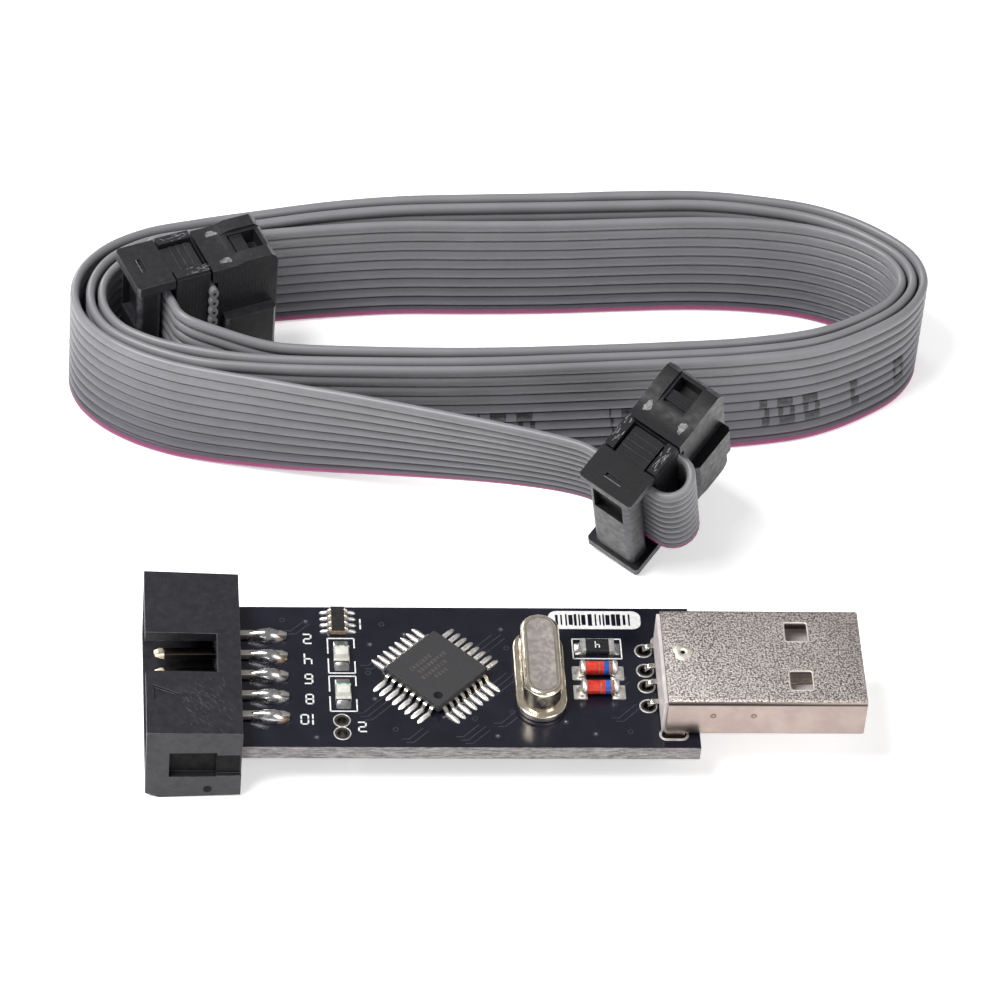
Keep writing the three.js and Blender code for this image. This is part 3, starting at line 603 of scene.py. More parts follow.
WAYS, WAY = 10, 1.27
THICK = 0.9
TABLE_HEIGHT = WAYS * WAY / 2
RELIEF_X, SLIT_X = 3.5, 7.85  # where the ribbon crosses a socket
RISE_FROM_A = 12
LEAD_START = 98
GAP = 0.3
ROUTE = [
    # out of socket A and along the front, innermost
    (-5.3, 39.5), (-4.45, 38.75), (-3.2, 38.3), (-1.4, 37.95), (1.8, 37.45), (6.5, 36.9), (12, 36.7),
    (19, 36.6), (26, 36.7), (34, 37.1), (42, 37.6), (50, 38.3), (57.2, 39.7),
    # right bend and back run of the first turn
    (61.9, 41.8), (65.1, 44.2), (66.6, 46.9), (65.9, 49.7), (63, 52.4), (58.6, 54.3), (52.9, 55.2),
    (47, 55.4), (40, 55.1), (33, 54.7), (25, 54.5), (17, 54.4), (10, 53.8), (3, 52.9), (-3, 51.9),
    # behind socket A, left bend and front run of the second turn
    (-7.8, 50.5), (-10.8, 48.5), (-12.4, 45.7), (-12.4, 42.6), (-10.9, 39.9), (-7.8, 37.9), (-3, 36.4),
    (1.6, 35.6), (6.5, 35.3), (12, 35.2), (19, 35.2), (26, 35.4), (34, 35.9), (42, 36.4), (50, 37.1),
    (57.4, 38.5),
    # right bend and back run of the second turn
    (62.4, 40.9), (66.1, 43.8), (67.7, 46.9), (67, 50.1), (63.6, 53.4), (58.8, 55.9), (52.9, 57.3),
    (47.2, 57.9), (40, 57.7), (33, 57.4), (25, 57.1), (17, 56.7), (10, 55.8), (3, 54.4), (-3, 53.1),
    # left bend and front run of the third turn
    (-8.1, 51.7), (-11.7, 49.3), (-13.5, 46), (-13.6, 42.6), (-12.2, 39.6), (-9, 37.2), (-3.6, 35.1),
    (1.6, 34.4), (6.5, 34.1), (12, 34), (19, 34), (26, 34.2), (34, 34.7), (42, 35.3), (50, 36),
    (57.4, 37.4),
    # right bend and back run of the third turn, outermost
    (62.9, 40), (67, 43.2), (68.8, 46.9), (68.1, 50.6), (64.4, 54.4), (59.1, 57.2), (52.9, 58.6),
    (47.3, 59.2), (40, 59.1), (33, 58.7), (25, 58.4), (17, 58), (10, 57.1), (3, 55.7), (-3, 54.4),
    # left bend, then the lead that runs forward to socket B
    (-8.4, 52.9), (-12.2, 50.6), (-14.6, 47.5), (-15.3, 44.2), (-14.6, 41.1), (-12.5, 38.3),
    (-9.5, 36.1), (-6.2, 34.6), (-2.6, 33.5), (1.6, 32.4), (6.3, 31.1), (11.1, 29.8), (15.9, 28.4),
    (20.6, 27), (25.3, 25.6), (29.5, 24.3), (32.1, 23.4),
]


def through(points, per_span):
    """A centripetal Catmull-Rom line through points, with per_span steps between each two."""
    p = np.vstack([2 * points[0] - points[1], points, 2 * points[-1] - points[-2]])
    out = []
    for i in range(1, len(p) - 2):
        a, b, c, d = p[i - 1:i + 3]
        da, db, dc = (math.sqrt(np.linalg.norm(v)) for v in (b - a, c - b, d - c))
        start = ((b - a) / da - (c - a) / (da + db) + (c - b) / db) * db
        end = ((c - b) / db - (d - b) / (db + dc) + (d - c) / dc) * db
        for t in np.arange(per_span) / per_span:
            out.append(
                b + start * t + (3 * (c - b) - 2 * start - end) * t**2 + (2 * (b - c) + start + end) * t**3
            )
    return np.array([*out, points[-1]])


def lengths(line):
    return np.concatenate([[0], np.cumsum(np.linalg.norm(np.diff(line, axis=0), axis=1))])


def eased(x):
    t = np.clip(x, 0, 1)
    return t * t * (3 - 2 * t)


def exit_point(socket, side, extra):
    return np.array(socket @ Vector((RELIEF_X, -side * (SOCKET_HALF + 0.3 + extra), 0)))


def folded_end(socket, side, overhang):
    """From the cut end in the slit, round the cover and out under the strain relief."""
    edge = SOCKET_HALF
    radius = (SLIT_X - RELIEF_X) / 2
    middle = RELIEF_X + radius
    line = [(SLIT_X, y) for y in np.linspace(-edge - overhang, edge + 0.1, 8)]
    line += [
        (middle + radius * math.cos(a), edge + 0.2 + radius * math.sin(a))
        for a in np.linspace(0, math.pi, 33)
    ]
    line += [(RELIEF_X, y) for y in np.linspace(edge, -edge - 0.2, 7)]
    points = np.array([socket @ Vector((x, y * side, 0)) for x, y in line])
    return points, np.tile(np.array(socket.to_3x3() @ Vector((0, 0, 1))), (len(points), 1))


def free_ribbon():
    """The free ribbon's middle line and, at each point, the way its width points."""
    start, end = exit_point(SOCKET_A, 1, GAP), exit_point(SOCKET_B, -1, GAP)
    before_b = exit_point(SOCKET_B, -1, 1.6)
    plan = np.array([
        (*start[:2], 0), *[(x - MIDDLE, y, 0) for x, y in ROUTE], (*before_b[:2], 0), (*end[:2], 0),
    ])
    line = through(plan, 12)
    s = lengths(line)
    lead_at = s[LEAD_START * 12]
    lean = eased((s - lead_at) / (s[-1] - lead_at))
    line[:, 2] = (
        TABLE_HEIGHT
        + (start[2] - TABLE_HEIGHT) * (1 - eased(s / RISE_FROM_A))
        + (end[2] - TABLE_HEIGHT) * lean
    )
    up_b = np.array(SOCKET_B.to_3x3() @ Vector((0, 0, 1)))
    up = np.array([0, 0, 1]) + lean[:, None] * (up_b - np.array([0, 0, 1]))
    return line, up / np.linalg.norm(up, axis=1)[:, None]


def whole_ribbon():
    a_line, a_up = folded_end(SOCKET_A, 1, 0.5)
    free_line, free_up = free_ribbon()
    b_line, b_up = folded_end(SOCKET_B, -1, 0.5)
    line = np.vstack([a_line, free_line, b_line[::-1]])
    up = np.vstack([a_up, free_up, b_up[::-1]])
    s = lengths(line)
    even = np.linspace(0, s[-1], int(s[-1] / 0.55))
    place = np.column_stack([np.interp(even, s, line[:, k]) for k in range(3)])
    width = np.column_stack([np.interp(even, s, up[:, k]) for k in range(3)])
    return place, width / np.linalg.norm(width, axis=1)[:, None]


RING = 14
WAY_SECTION = [
    # across the ribbon's thickness, then across its width: an oval
    (
        THICK / 2 * math.sin(a),
        0.5 * (WAY + 0.01) * math.cos(a),
    )
    for a in [2 * math.pi * i / RING for i in range(RING)]
]
PRINTED_WAYS = {2: GREY_BARS, 3: GREY_POSTS, 4: GREY_BARS}
LEAN = 0.25  # how far each way's print lies ahead of the one below


def conductor(number, place, width):
    """One way of the ribbon, as a tube with its own centreline."""
    centre = place + width * ((number - (WAYS - 1) / 2) * WAY)
    along = np.gradient(place, axis=0)
    along /= np.linalg.norm(along, axis=1)[:, None]
    across = np.cross(width, along)
    across /= np.linalg.norm(across, axis=1)[:, None]
    rings = [centre + across * a + width * b for a, b in WAY_SECTION]
    points = np.stack(rings, axis=1)
    piece = lofted([[tuple(q) for q in ring] for ring in points])
    s = lengths(place)
    uv = piece.data.uv_layers.new(name="way")
    for loop in piece.data.loops:
        ring, k = divmod(loop.vertex_index, RING)
        uv.data[loop.index].uv = (s[ring] + LEAN * number, k / RING)
    return piece, centre, lengths(centre)[-1]


def make_ribbon():
    place, width = whole_ribbon()
    nodes = ("ribbon_tail_a", "ribbon_coil", "ribbon_lead_b", "ribbon_tail_b")
    for number in range(WAYS):
        piece, centre, length = conductor(number, place, width)
        material = MAGENTA if number == 0 else PRINTED_WAYS.get(number, GREY)
        settled(
            piece, f"ribbon_way_{number + 1}", material, "cable", Matrix(), smooth=60,
            replaces=nodes, slot="ribbon_pvc",
        )


# ---------------------------------------------------------------- board: print, tracks and solder

FACE = TOP + 0.03  # the print and the pads stand this high


def track(points, width, low=TOP - 0.01, high=FACE):
    """A flat strip along a line of points, mitred at its corners."""
    p = [Vector(q) for q in points]
    rings = []
    for i, q in enumerate(p):
        ahead = (p[min(i + 1, len(p) - 1)] - q).normalized()
        behind = (q - p[max(i - 1, 0)]).normalized()
        way = (ahead + behind).normalized()
        side = Vector((-way.y, way.x)) * (width / 2 / max(way.dot(ahead), way.dot(behind), 0.4))
        rings.append([(*(q + side), low), (*(q - side), low), (*(q - side), high), (*(q + side), high)])
    return lofted(rings)


STROKES = {
    "a": ((0, 1), (1, 1)), "b": ((1, 1), (1, 0.5)), "c": ((1, 0.5), (1, 0)), "d": ((0, 0), (1, 0)),
    "e": ((0, 0), (0, 0.5)), "f": ((0, 0.5), (0, 1)), "g": ((0, 0.5), (1, 0.5)),
}
DIGITS = {"0": "abcdef", "1": "bc", "2": "abged", "4": "fgbc", "6": "afgedc", "8": "abcdefg"}


def printed_number(text, x, y, height=1.15, width=0.66, weight=0.15, low=TOP - 0.01, high=FACE):
    """Digits about (x, y), to be read from the rear side of the board."""
    strips = []
    for k, digit in enumerate(text):
        offset = (k - (len(text) - 1) / 2) * width * 1.65
        for stroke in DIGITS[digit]:
            (u0, v0), (u1, v1) = STROKES[stroke]
            ends = [(x - offset - (u - 0.5) * width, y - (v - 0.5) * height) for u, v in ((u0, v0), (u1, v1))]
            reach = (Vector(ends[1]) - Vector(ends[0])).normalized() * weight / 2
            strips.append(track([Vector(ends[0]) - reach, Vector(ends[1]) + reach], weight, low, high))
    return strips


def frame_lines(x0, x1, y0, y1, gaps=()):
    """Lines round a rectangle; gaps are (side, from, to) parts of the left or right line left out."""
    lines = [[(x0, y0), (x1, y0)], [(x0, y1), (x1, y1)]]
    for side, x in (("left", x0), ("right", x1)):
        cuts = sorted((a, b) for name, a, b in gaps if name == side)
        start = y0
        for a, b in cuts:
            lines.append([(x, start), (x, y0 + a * (y1 - y0))])
            start = y0 + b * (y1 - y0)
        lines.append([(x, start), (x, y1)])
    return [track(line, 0.13) for line in lines]


LAMPS = {"led_near_array": 2.85, "led_near_jumper": -1.95}
LAMP_X = 9.65
ARRAY_AT, MARKER_AT = (9.45, 7.1), (33.9, 3.85)
DIODE_X, DIODES = 33.8, {"diode_rear": 0.7, "diode_front": -1.7}
HEADER_ROWS = [k * 2.54 for k in (-2, -1, 0, 1, 2)]
LABEL = {"x": 33.9, "y": 7.55, "length": 8.8, "width": 2.3}


def make_print():
    marks = []
    for y in LAMPS.values():
        gaps = [("left", 0.42, 0.56), ("right", 0.34, 0.72)]
        marks += frame_lines(LAMP_X - 1.25, LAMP_X + 1.25, y - 2.2, y + 2.2, gaps)
    for pin, y in zip(("10", "8", "6", "4", "2"), HEADER_ROWS):
        marks += printed_number(pin, 6.5, y - 0.1)
    marks += printed_number("1", 11.9, 6.9) + printed_number("2", 11.3, -6.1)
    marks += frame_lines(MARKER_AT[0] - 2.3, MARKER_AT[0] + 2.3, MARKER_AT[1] - 1.25, MARKER_AT[1] + 1.25)
    settled(joined(marks), "printed_legend", SILK, slot="silkscreen")

    label = pulled(rounded(LABEL["x"], LABEL["y"], LABEL["length"], LABEL["width"], 0.8), TOP - 0.01, FACE)
    settled(label, "printed_label", SILK, slot="silkscreen")
    bars = []
    x = LABEL["x"] - 3.6
    while x < LABEL["x"] + 3.6:
        wide, tall = random.choice((0.16, 0.26, 0.4)), random.choice((1.3, 1.5, 1.5))
        bars.append(pulled(rounded(x, LABEL["y"], wide, tall, 0.05, 2), FACE - 0.01, FACE + 0.015))
        x += wide / 2 + random.uniform(0.24, 0.42)
    settled(joined(bars), "printed_label_bars", MASK, slot="solder_mask")


def make_tracks():
    groups = [
        # start x and y, slanted length, how many
        (11.4, -4.4, 2.6, 3), (22.4, -2.0, 3.0, 3), (21.8, 3.4, 2.4, 3), (20.7, -7.3, 1.7, 3),
        (35.4, -4.9, 1.5, 2), (12.1, 1.6, 1.6, 2), (5.0, 6.0, 1.4, 2), (24.3, -5.6, 1.4, 2),
        (35.3, -0.9, 1.2, 2), (15.6, -7.6, 1.3, 2),
    ]
    strips = []
    for x, y, length, count in groups:
        for k in range(count):
            x0, y0 = x + 0.42 * k, y - 0.42 * k
            slant = length * (0.8 + 0.4 * random.random())
            strips.append(track([(x0 - 0.7, y0), (x0, y0), (x0 + slant, y0 + slant)], 0.14, high=TOP + 0.025))
    vias = [
        (12.4, 4.3), (12.1, 0.7), (12.6, -2.6), (13.6, 6.9), (15.7, 5.6), (21.9, -5.0), (23.9, -7.2),
        (25.4, -4.2), (24.9, 6.3), (25.3, 3.9), (30.4, -5.4), (36.4, -6.6), (33.1, -6.9), (4.2, 7.4),
        (6.4, 7.2), (29.7, 4.9), (7.0, -7.4), (14.4, -6.4),
    ]
    strips += [washer(x, y, 0.16, 0.30, TOP - 0.01, TOP + 0.03, 20) for x, y in vias]
    settled(joined(strips), "board_tracks", TRACE, slot="solder_mask")
    dots = [washer(x, y, 0.05, 0.15, TOP - 0.01, TOP + 0.035, 16) for x, y in vias[::2]]
    settled(joined(dots), "via_tin", TIN, slot="solder")


USB_Y, USB_REAR, USB_TIP = -1.1, 39.55, 58.3
USB_ROWS = [USB_Y + d for d in (3.5, 1.0, -1.0, -3.5)]
ASIDE = 1.2  # how far the plug's contacts step aside inside its rear block
USB_TAILS = {"x": 38.3, "y": [y + ASIDE for y in USB_ROWS]}
CRYSTAL_AT = (28.2, 0.05)
CRYSTAL_LEADS = [CRYSTAL_AT[1] + d for d in (2.44, -2.44)]
TAB_ROWS = [USB_Y + 5.85, USB_Y - 5.85]
SLOT_X = 40.45  # the middle of the slots for the plug's tabs
JUMPER_X, JUMPER_HOLES = 9.42, (-5.3, -6.9)
UNDER = Matrix.Rotation(math.pi, 4, "X")  # turns a piece from the top to the underside


def slot_pad(y):
    """The bright ring round a slot that takes one of the plug's tabs."""
    outer, inner = rounded(SLOT_X, y, 2.8, 1.5, 0.74, 8), rounded(SLOT_X, y, 2.3, 0.94, 0.46, 8)
    return hooped([
        [(a, b, TOP - 0.01) for a, b in inner], [(a, b, TOP - 0.01) for a, b in outer],
        [(a, b, FACE) for a, b in outer], [(a, b, FACE) for a, b in inner],
    ])


def make_pads():
    for side, turn in (("top", Matrix()), ("bottom", UNDER)):
        flip = 1 if side == "top" else -1
        rings = [washer(JUMPER_X, flip * y, 0.7, 0.84, TOP - 0.01, TOP + 0.05) for y in JUMPER_HOLES]
        rings += [washer(USB_TAILS["x"], flip * y, 0.7, 0.88, TOP - 0.01, TOP + 0.05) for y in USB_TAILS["y"]]
        rings += [slot_pad(flip * y) for y in TAB_ROWS]
        settled(moved(joined(rings), turn), f"pads_{side}", CAPS, bevel=0.02, slot="solder")
    reach = TOP + 0.03
    # painted shade: dark barrel walls for the plated holes
    barrels = [washer(JUMPER_X, y, 0.44, 0.72, -reach, reach) for y in JUMPER_HOLES]
    barrels += [washer(USB_TAILS["x"], y, 0.49, 0.72, -reach, reach) for y in USB_TAILS["y"]]
    settled(joined(barrels), "plated_holes_shaded", SHADED_BARREL_METAL, slot="solder")


def header_lump(y):
    """One pin's solder, drawn out along the pin: narrow by the header, full, then a thin toe."""
    wide, high = 1 + 0.1 * random.uniform(-1, 1), 1 + 0.08 * random.uniform(-1, 1)
    sections = [
        (0.75, 0.36, 0.82), (1.2, 0.40, 0.86), (1.6, 0.50, 0.95), (2.15, 0.66, 1.08), (2.8, 0.76, 1.14),
        (3.4, 0.72, 1.0), (3.95, 0.54, 0.72), (4.35, 0.32, 0.36), (4.6, 0.12, 0.1),
    ]
    drift = random.uniform(-0.06, 0.02)
    return lump([
        (x, y + drift * (x - 0.75), half * wide if x > 1.5 else half, h * high if x > 1.5 else h, TOP)
        for x, half, h in sections
    ])


def solder_cone(x, y, radius, height):
    """Solder round a lead that comes through the board, under it."""
    profile = [(radius, -0.01), (radius * 0.95, 0.06), (radius * 0.62, height * 0.42), (radius * 0.4, height),
               (radius * 0.2, height * 1.12), (0.02, height * 1.14)]
    return turned([(r, TOP + h) for r, h in profile], (x, y, 0), steps=24)


def make_solder():
    for side, turn in (("top", Matrix()), ("bottom", UNDER)):
        lumps = [header_lump(y) for y in HEADER_ROWS]
        settled(moved(joined(lumps), turn), f"header_solder_{side}", SOLDER, finer=1, slot="solder")
    under = [solder_cone(USB_TAILS["x"], -y, 0.85, 0.95) for y in USB_TAILS["y"]]
    under += [solder_cone(CRYSTAL_AT[0], -y, 0.75, 0.9) for y in CRYSTAL_LEADS]
    for y in TAB_ROWS:
        levels = [(2.7, 1.45, 0.7, 0), (2.2, 1.1, 0.5, 0.45), (1.95, 0.62, 0.3, 1.0)]
        under.append(stacked([(rounded(SLOT_X, -y, a, b, r, 6), TOP + h) for a, b, r, h in levels]))
    settled(moved(joined(under), UNDER), "underside_solder", SOLDER, smooth=60, slot="solder")


# ---------------------------------------------------------------- board: chip and crystal

CHIP_AT = Matrix.Translation((18.45, 0.35, TOP + 0.05))
CHIP_TURN = Matrix.Rotation(math.radians(45), 4, "Z")


def flat_wire(path, width, thick):
    """A flat wire bent in the XZ plane: its middle line as (x, z) points."""
    p = [Vector(q) for q in path]
    rings = []
    for i, q in enumerate(p):
        way = (p[min(i + 1, len(p) - 1)] - p[max(i - 1, 0)]).normalized()
        n = Vector((-way.y, way.x)) * thick / 2
        low, high = q - n, q + n
        rings.append([(low.x, -width / 2, low.y), (low.x, width / 2, low.y),
                      (high.x, width / 2, high.y), (high.x, -width / 2, high.y)])
    return lofted(rings)


def make_chip():
    levels = [(6.8, 0.1), (7.0, 0.52), (7.0, 0.6), (6.8, 1.1)]
    body = stacked([(rounded(0, 0, side, side, 0.22, 3), z) for side, z in levels])
    dimple = turned([(0.0, 0.98), (0.3, 1.0), (0.46, 1.3)], (-2.45, -2.45, 0))
    carved(body, [dimple])
    settled(moved(body, CHIP_AT @ CHIP_TURN), "chip_package", EPOXY, bevel=0.05,
            replaces=["microcontroller"], slot="chip_epoxy")

    path = [(3.2, 0.56), (3.6, 0.56), (3.74, 0.52), (3.84, 0.40), (3.92, 0.22), (4.02, 0.11), (4.16, 0.08),
            (4.6, 0.08)]
    leads = []
    for side in range(4):
        turn = Matrix.Rotation(math.radians(90 * side), 4, "Z")
        for k in range(8):
            y = (k - 3.5) * 0.8
            lead = tinted(flat_wire(path, 0.36, 0.13), 0)
            foot = tinted(lump([
                (3.86, 0, 0.10, 0.10, -0.05), (4.0, 0, 0.22, 0.25, -0.05), (4.25, 0, 0.25, 0.26, -0.05),
                (4.95, 0, 0.25, 0.24, -0.05), (5.4, 0, 0.21, 0.13, -0.05), (5.6, 0, 0.07, 0.03, -0.05),
            ]), 1)
            leads += [moved(piece, turn @ Matrix.Translation((0, y, 0))) for piece in (lead, foot)]
    settled(moved(joined(leads), CHIP_AT @ CHIP_TURN), "chip_leads", [TIN, CAPS], slot="chip_epoxy")

    # painted shade: a dark saucer laid in the pin-one dimple
    saucer = [(0.02, 1.0), (0.44, 1.0), (0.44, 1.106), (0.38, 1.106), (0.34, 1.08), (0.02, 1.075)]
    pin_one = moved(turned(saucer, (-2.45, -2.45, 0)), CHIP_AT @ CHIP_TURN)
    settled(pin_one, "chip_pin_one_shade", PAINTED_SHADE_PLASTIC, slot="chip_epoxy")

    rows = []
    for row, (start, dashes) in enumerate([(-2.0, 7), (-1.6, 9), (-1.9, 8), (-0.9, 4)]):
        for k in range(dashes):
            x, y = start + 0.42 * k, 1.3 - 0.75 * row
            rows.append(block((x, y, 1.09), (x + 0.24, y + 0.42, 1.108)))
    settled(moved(joined(rows), CHIP_AT @ CHIP_TURN), "chip_mark", ETCH, slot="chip_epoxy")


def stadium(length, width):
    """An outline with half-round ends, long along Y."""
    straight, steps = (length - width) / 2, 12
    points = []
    for end in (1, -1):
        for i in range(steps + 1):
            a = math.pi * i / steps + (0 if end > 0 else math.pi)
            points.append((width / 2 * math.cos(a), end * straight + width / 2 * math.sin(a)))
    return points


def make_crystal():
    at = Matrix.Translation((*CRYSTAL_AT, TOP + 0.05))
    length, width, height = 10.3, 3.7, 3.5
    rim = 0.42
    wall = [(0.0, 0.86), (0.0, height - rim)]
    round_rim = [
        (rim * (1 - math.cos(a)), height - rim + rim * math.sin(a))
        for a in [math.pi / 2 * i / 8 for i in range(1, 9)]
    ]
    top = [(rim + 0.08, height - 0.03), (rim + 0.2, height - 0.045)]
    levels = [(stadium(length - 2 * d, width - 2 * d), z) for d, z in [*wall, *round_rim, *top]]
    can = stacked(levels)
    for face in can.data.polygons:
        face.material_index = 1 if face.normal.z > 0.995 else 0
    settled(moved(can, at), "crystal_shell", [RIM, CRYSTAL], smooth=50, replaces=["crystal_can"],
            slot="crystal_case")
    flange = [
        (-0.30, 0.44), (-0.5, 0.47), (-0.55, 0.58), (-0.55, 0.68), (-0.5, 0.78), (-0.4, 0.83), (-0.1, 0.86),
        (0.05, 0.95),
    ]
    skirt = stacked([(stadium(length - 2 * d, width - 2 * d), z) for d, z in flange])
    settled(moved(skirt, at), "crystal_flange", RIM, smooth=60, slot="crystal_case")
    edge = [(0.7, 0.0), (0.84, 0.06), (0.84, 0.36), (0.7, 0.43)]
    plate = stacked([(stadium(length + d, width + d), z) for d, z in edge])
    wires = [turned([(0.22, -2.7), (0.22, 0.3)], (0, y - CRYSTAL_AT[1], 0), steps=16) for y in CRYSTAL_LEADS]
    settled(moved(joined([plate, *wires]), at), "crystal_plate", CRYSTAL, replaces=["crystal_base"],
            slot="crystal_case")


# ---------------------------------------------------------------- board: small parts


def end_terminals(length, width, height, cap, pad):
    """Two wrapped end terminals and the solder that runs out from them, along X."""
    pieces = []
    for side in (1, -1):
        x0, x1 = sorted((side * (length / 2 - cap), side * length / 2))
        pieces.append(tinted(pulled(rounded((x0 + x1) / 2, 0, x1 - x0, width, 0.06, 2), -0.03, height), 2))
        half = length / 2
        slope = [(half - 0.1, 0.98, 0.85), (half + 0.12 * pad, 0.96, 0.6), (half + 0.5 * pad, 0.95, 0.25),
                 (half + 0.9 * pad, 0.9, 0.08), (half + pad, 0.8, 0.02)]
        pieces.append(tinted(lump([(side * x, 0, width / 2 * w, height * h, -0.05) for x, w, h in slope]), 3))
    return pieces


def chip_part(length, width, height, cap, pad, glazed=True):
    """A chip resistor or capacitor along X on Z = 0. Materials: body, glaze, ends, solder."""
    l, w = length / 2, width / 2
    pieces = [tinted(block((-l + 0.08, -w + 0.03, 0.02), (l - 0.08, w - 0.03, height - 0.04)), 0)]
    if glazed:
        pieces.append(tinted(stacked([
            (rounded(0, 0, length - 2 * cap + 0.06, width - 0.12, 0.05, 2), height - 0.05),
            (rounded(0, 0, length - 2 * cap - 0.02, width - 0.2, 0.05, 2), height - 0.005),
        ]), 1))
    return joined([*pieces, *end_terminals(length, width, height, cap, pad)])


UNDERSIDE = {
    "series_resistor_1": (33.6, -0.4), "series_resistor_2": (33.6, -2.2), "pullup_resistor": (33.6, 1.4),
    "load_capacitor_1": (28, 5.9), "load_capacitor_2": (28, -6.3), "decoupling_capacitor_1": (18.3, 2.2),
    "decoupling_capacitor_2": (18.3, -2.2), "lamp_resistor_1": (10.4, 2.6), "lamp_resistor_2": (10.4, -2.6),
    "reset_resistor": (13.6, 5.4),
}


def make_underside():
    for node, (x, y) in UNDERSIDE.items():
        resistor = "resistor" in node
        part = chip_part(1.6, 0.8, 0.45 if resistor else 0.8, 0.3, 0.35, resistor)
        moved(part, Matrix.Translation((x, y, -TOP - 0.05)) @ UNDER)
        name, slot = (f"{node}_chip", "chip_resistor") if resistor else (f"{node}_chip", "chip_capacitor")
        body = CERAMIC if resistor else TAN
        settled(part, name, [body, GLAZE, CAPS, SOLDER], bevel=0.02, replaces=[node], slot=slot)


def make_array():
    l, w = 0.8, 1.6
    pieces = [
        tinted(block((-l + 0.08, -w, 0.03), (l - 0.08, w, 0.5)), 0),
        tinted(stacked([
            (rounded(0, 0, 1.3, 3.14, 0.06, 2), 0.48), (rounded(0, 0, 1.22, 3.06, 0.06, 2), 0.55),
        ]), 1),
    ]
    for side in (1, -1):
        for y in (-1.2, -0.4, 0.4, 1.2):
            slope = [(0.52, 0.16, 0.56), (0.7, 0.22, 0.62), (0.88, 0.22, 0.56), (1.02, 0.16, 0.3),
                     (1.22, 0.2, 0.26), (1.5, 0.2, 0.22), (1.68, 0.12, 0.1), (1.74, 0.04, 0.02)]
            pieces.append(tinted(lump([(side * x, y, half, h, -0.05) for x, half, h in slope]), 2))
    array = moved(joined(pieces), Matrix.Translation((*ARRAY_AT, TOP + 0.05)))
    settled(array, "array_chip", [TAN, GLAZE, CAPS], bevel=0.02, replaces=["resistor_array"],
            slot="chip_resistor")


def make_lamps():
    for node, y in LAMPS.items():
        base = [tinted(block((-0.98, -0.72, 0.0), (0.98, 0.72, 0.32)), 0)]
        lens = stacked([
            (rounded(-0.05, 0, 1.35, 1.5, 0.12), 0.3), (rounded(-0.05, 0, 1.28, 1.42, 0.14), 0.6),
            (rounded(-0.05, 0, 1.1, 1.22, 0.24), 0.86), (rounded(-0.05, 0, 0.8, 0.9, 0.26), 0.93),
        ])
        mark = [(0.26, 0.05, 0.03, 0.86), (0.34, 0.18, 0.10, 0.84), (0.54, 0.2, 0.10, 0.80),
                (0.64, 0.06, 0.03, 0.78)]
        marks = [tinted(lump([(x, dy, half, h, z) for x, half, h, z in mark]), 4) for dy in (-0.34, 0.34)]
        pieces = [*base, tinted(lens, 1), *marks, *end_terminals(1.96, 1.5, 0.34, 0.3, 0.9)]
        place = Matrix.Translation((LAMP_X, y, TOP + 0.05)) @ Matrix.Rotation(math.pi / 2, 4, "Z")
        lamp = moved(joined(pieces), place)
        settled(lamp, f"{node}_lamp", [CERAMIC, LENS, CAPS, SOLDER, GREEN], bevel=0.03, replaces=[node],
                slot="lamp")


def make_marker_resistor():
    part = chip_part(3.2, 1.6, 0.6, 0.5, 0.55)
    mark = [tinted(m, 4) for m in printed_number("4", 0, 0, 0.7, 0.36, 0.11, 0.59, 0.612)]
    whole = moved(joined([part, *mark]), Matrix.Translation((*MARKER_AT, TOP + 0.05)))
    settled(whole, "marker_resistor_chip", [GLAZE, GLAZE, CAPS, SOLDER, SILK], bevel=0.03,
            replaces=["marker_resistor"], slot="chip_resistor")


def make_diodes():
    for node, y in DIODES.items():
        centre = (DIODE_X, y, TOP + 0.05 + 0.76)
        sections = [
            # material, then radius and place along the diode
            (0, [(0.3, -1.78), (0.62, -1.76), (0.76, -1.62), (0.76, -1.38), (0.68, -1.26), (0.5, -1.22)]),
            (1, [(0.5, -1.24), (0.66, -1.22), (0.68, -1.0), (0.68, -0.04), (0.5, -0.02)]),
            (3, [(0.4, -0.04), (0.655, -0.04), (0.655, 0.1), (0.4, 0.1)]),
            (1, [(0.5, 0.06), (0.68, 0.08), (0.68, 0.46), (0.5, 0.48)]),
            (2, [(0.5, 0.44), (0.69, 0.45), (0.69, 0.94), (0.5, 0.95)]),
            (3, [(0.5, 0.92), (0.68, 0.93), (0.68, 1.2), (0.5, 1.24)]),
            (0, [(0.5, 1.22), (0.68, 1.26), (0.76, 1.38), (0.76, 1.62), (0.62, 1.76), (0.3, 1.78)]),
        ]
        pieces = [tinted(turned(profile, centre, "X"), index) for index, profile in sections]
        for x in (DIODE_X - 1.8, DIODE_X + 1.8):
            pieces.append(tinted(pulled(rounded(x, y, 1.3, 1.75, 0.12), TOP - 0.01, TOP + 0.07), 4))
            lean = 1 if x < DIODE_X else -1
            slope = [(-0.5, 0.3, 0.05), (-0.2, 0.6, 0.3), (0.15, 0.72, 0.7), (0.45, 0.66, 0.75),
                     (0.6, 0.4, 0.2)]
            pieces.append(tinted(lump([(x + lean * d, y, half, h, TOP) for d, half, h in slope]), 4))
        settled(joined(pieces), f"{node}_glass", [CAPS, RED_GLASS, BLUE_BAND, AMBER, CAPS], smooth=50,
                replaces=[node], slot="diode_glass")


# ---------------------------------------------------------------- header


SHROUD_DEPTH, SHROUD_FRONT, SHROUD_REAR = 8.9, 4.5, 4.25  # its depth, and its height at each end
RECESS_SHADE_SHEETS = [
    # dark sheets of painted shade on each end's deep pocket, then on the shallow channel behind it: x from
    # and to, depth, z from and to
    (-6.72, -2.33, 9.4, -1.62, 1.62), (-2.37, -0.15, 9.7, -1.52, 1.27),
]


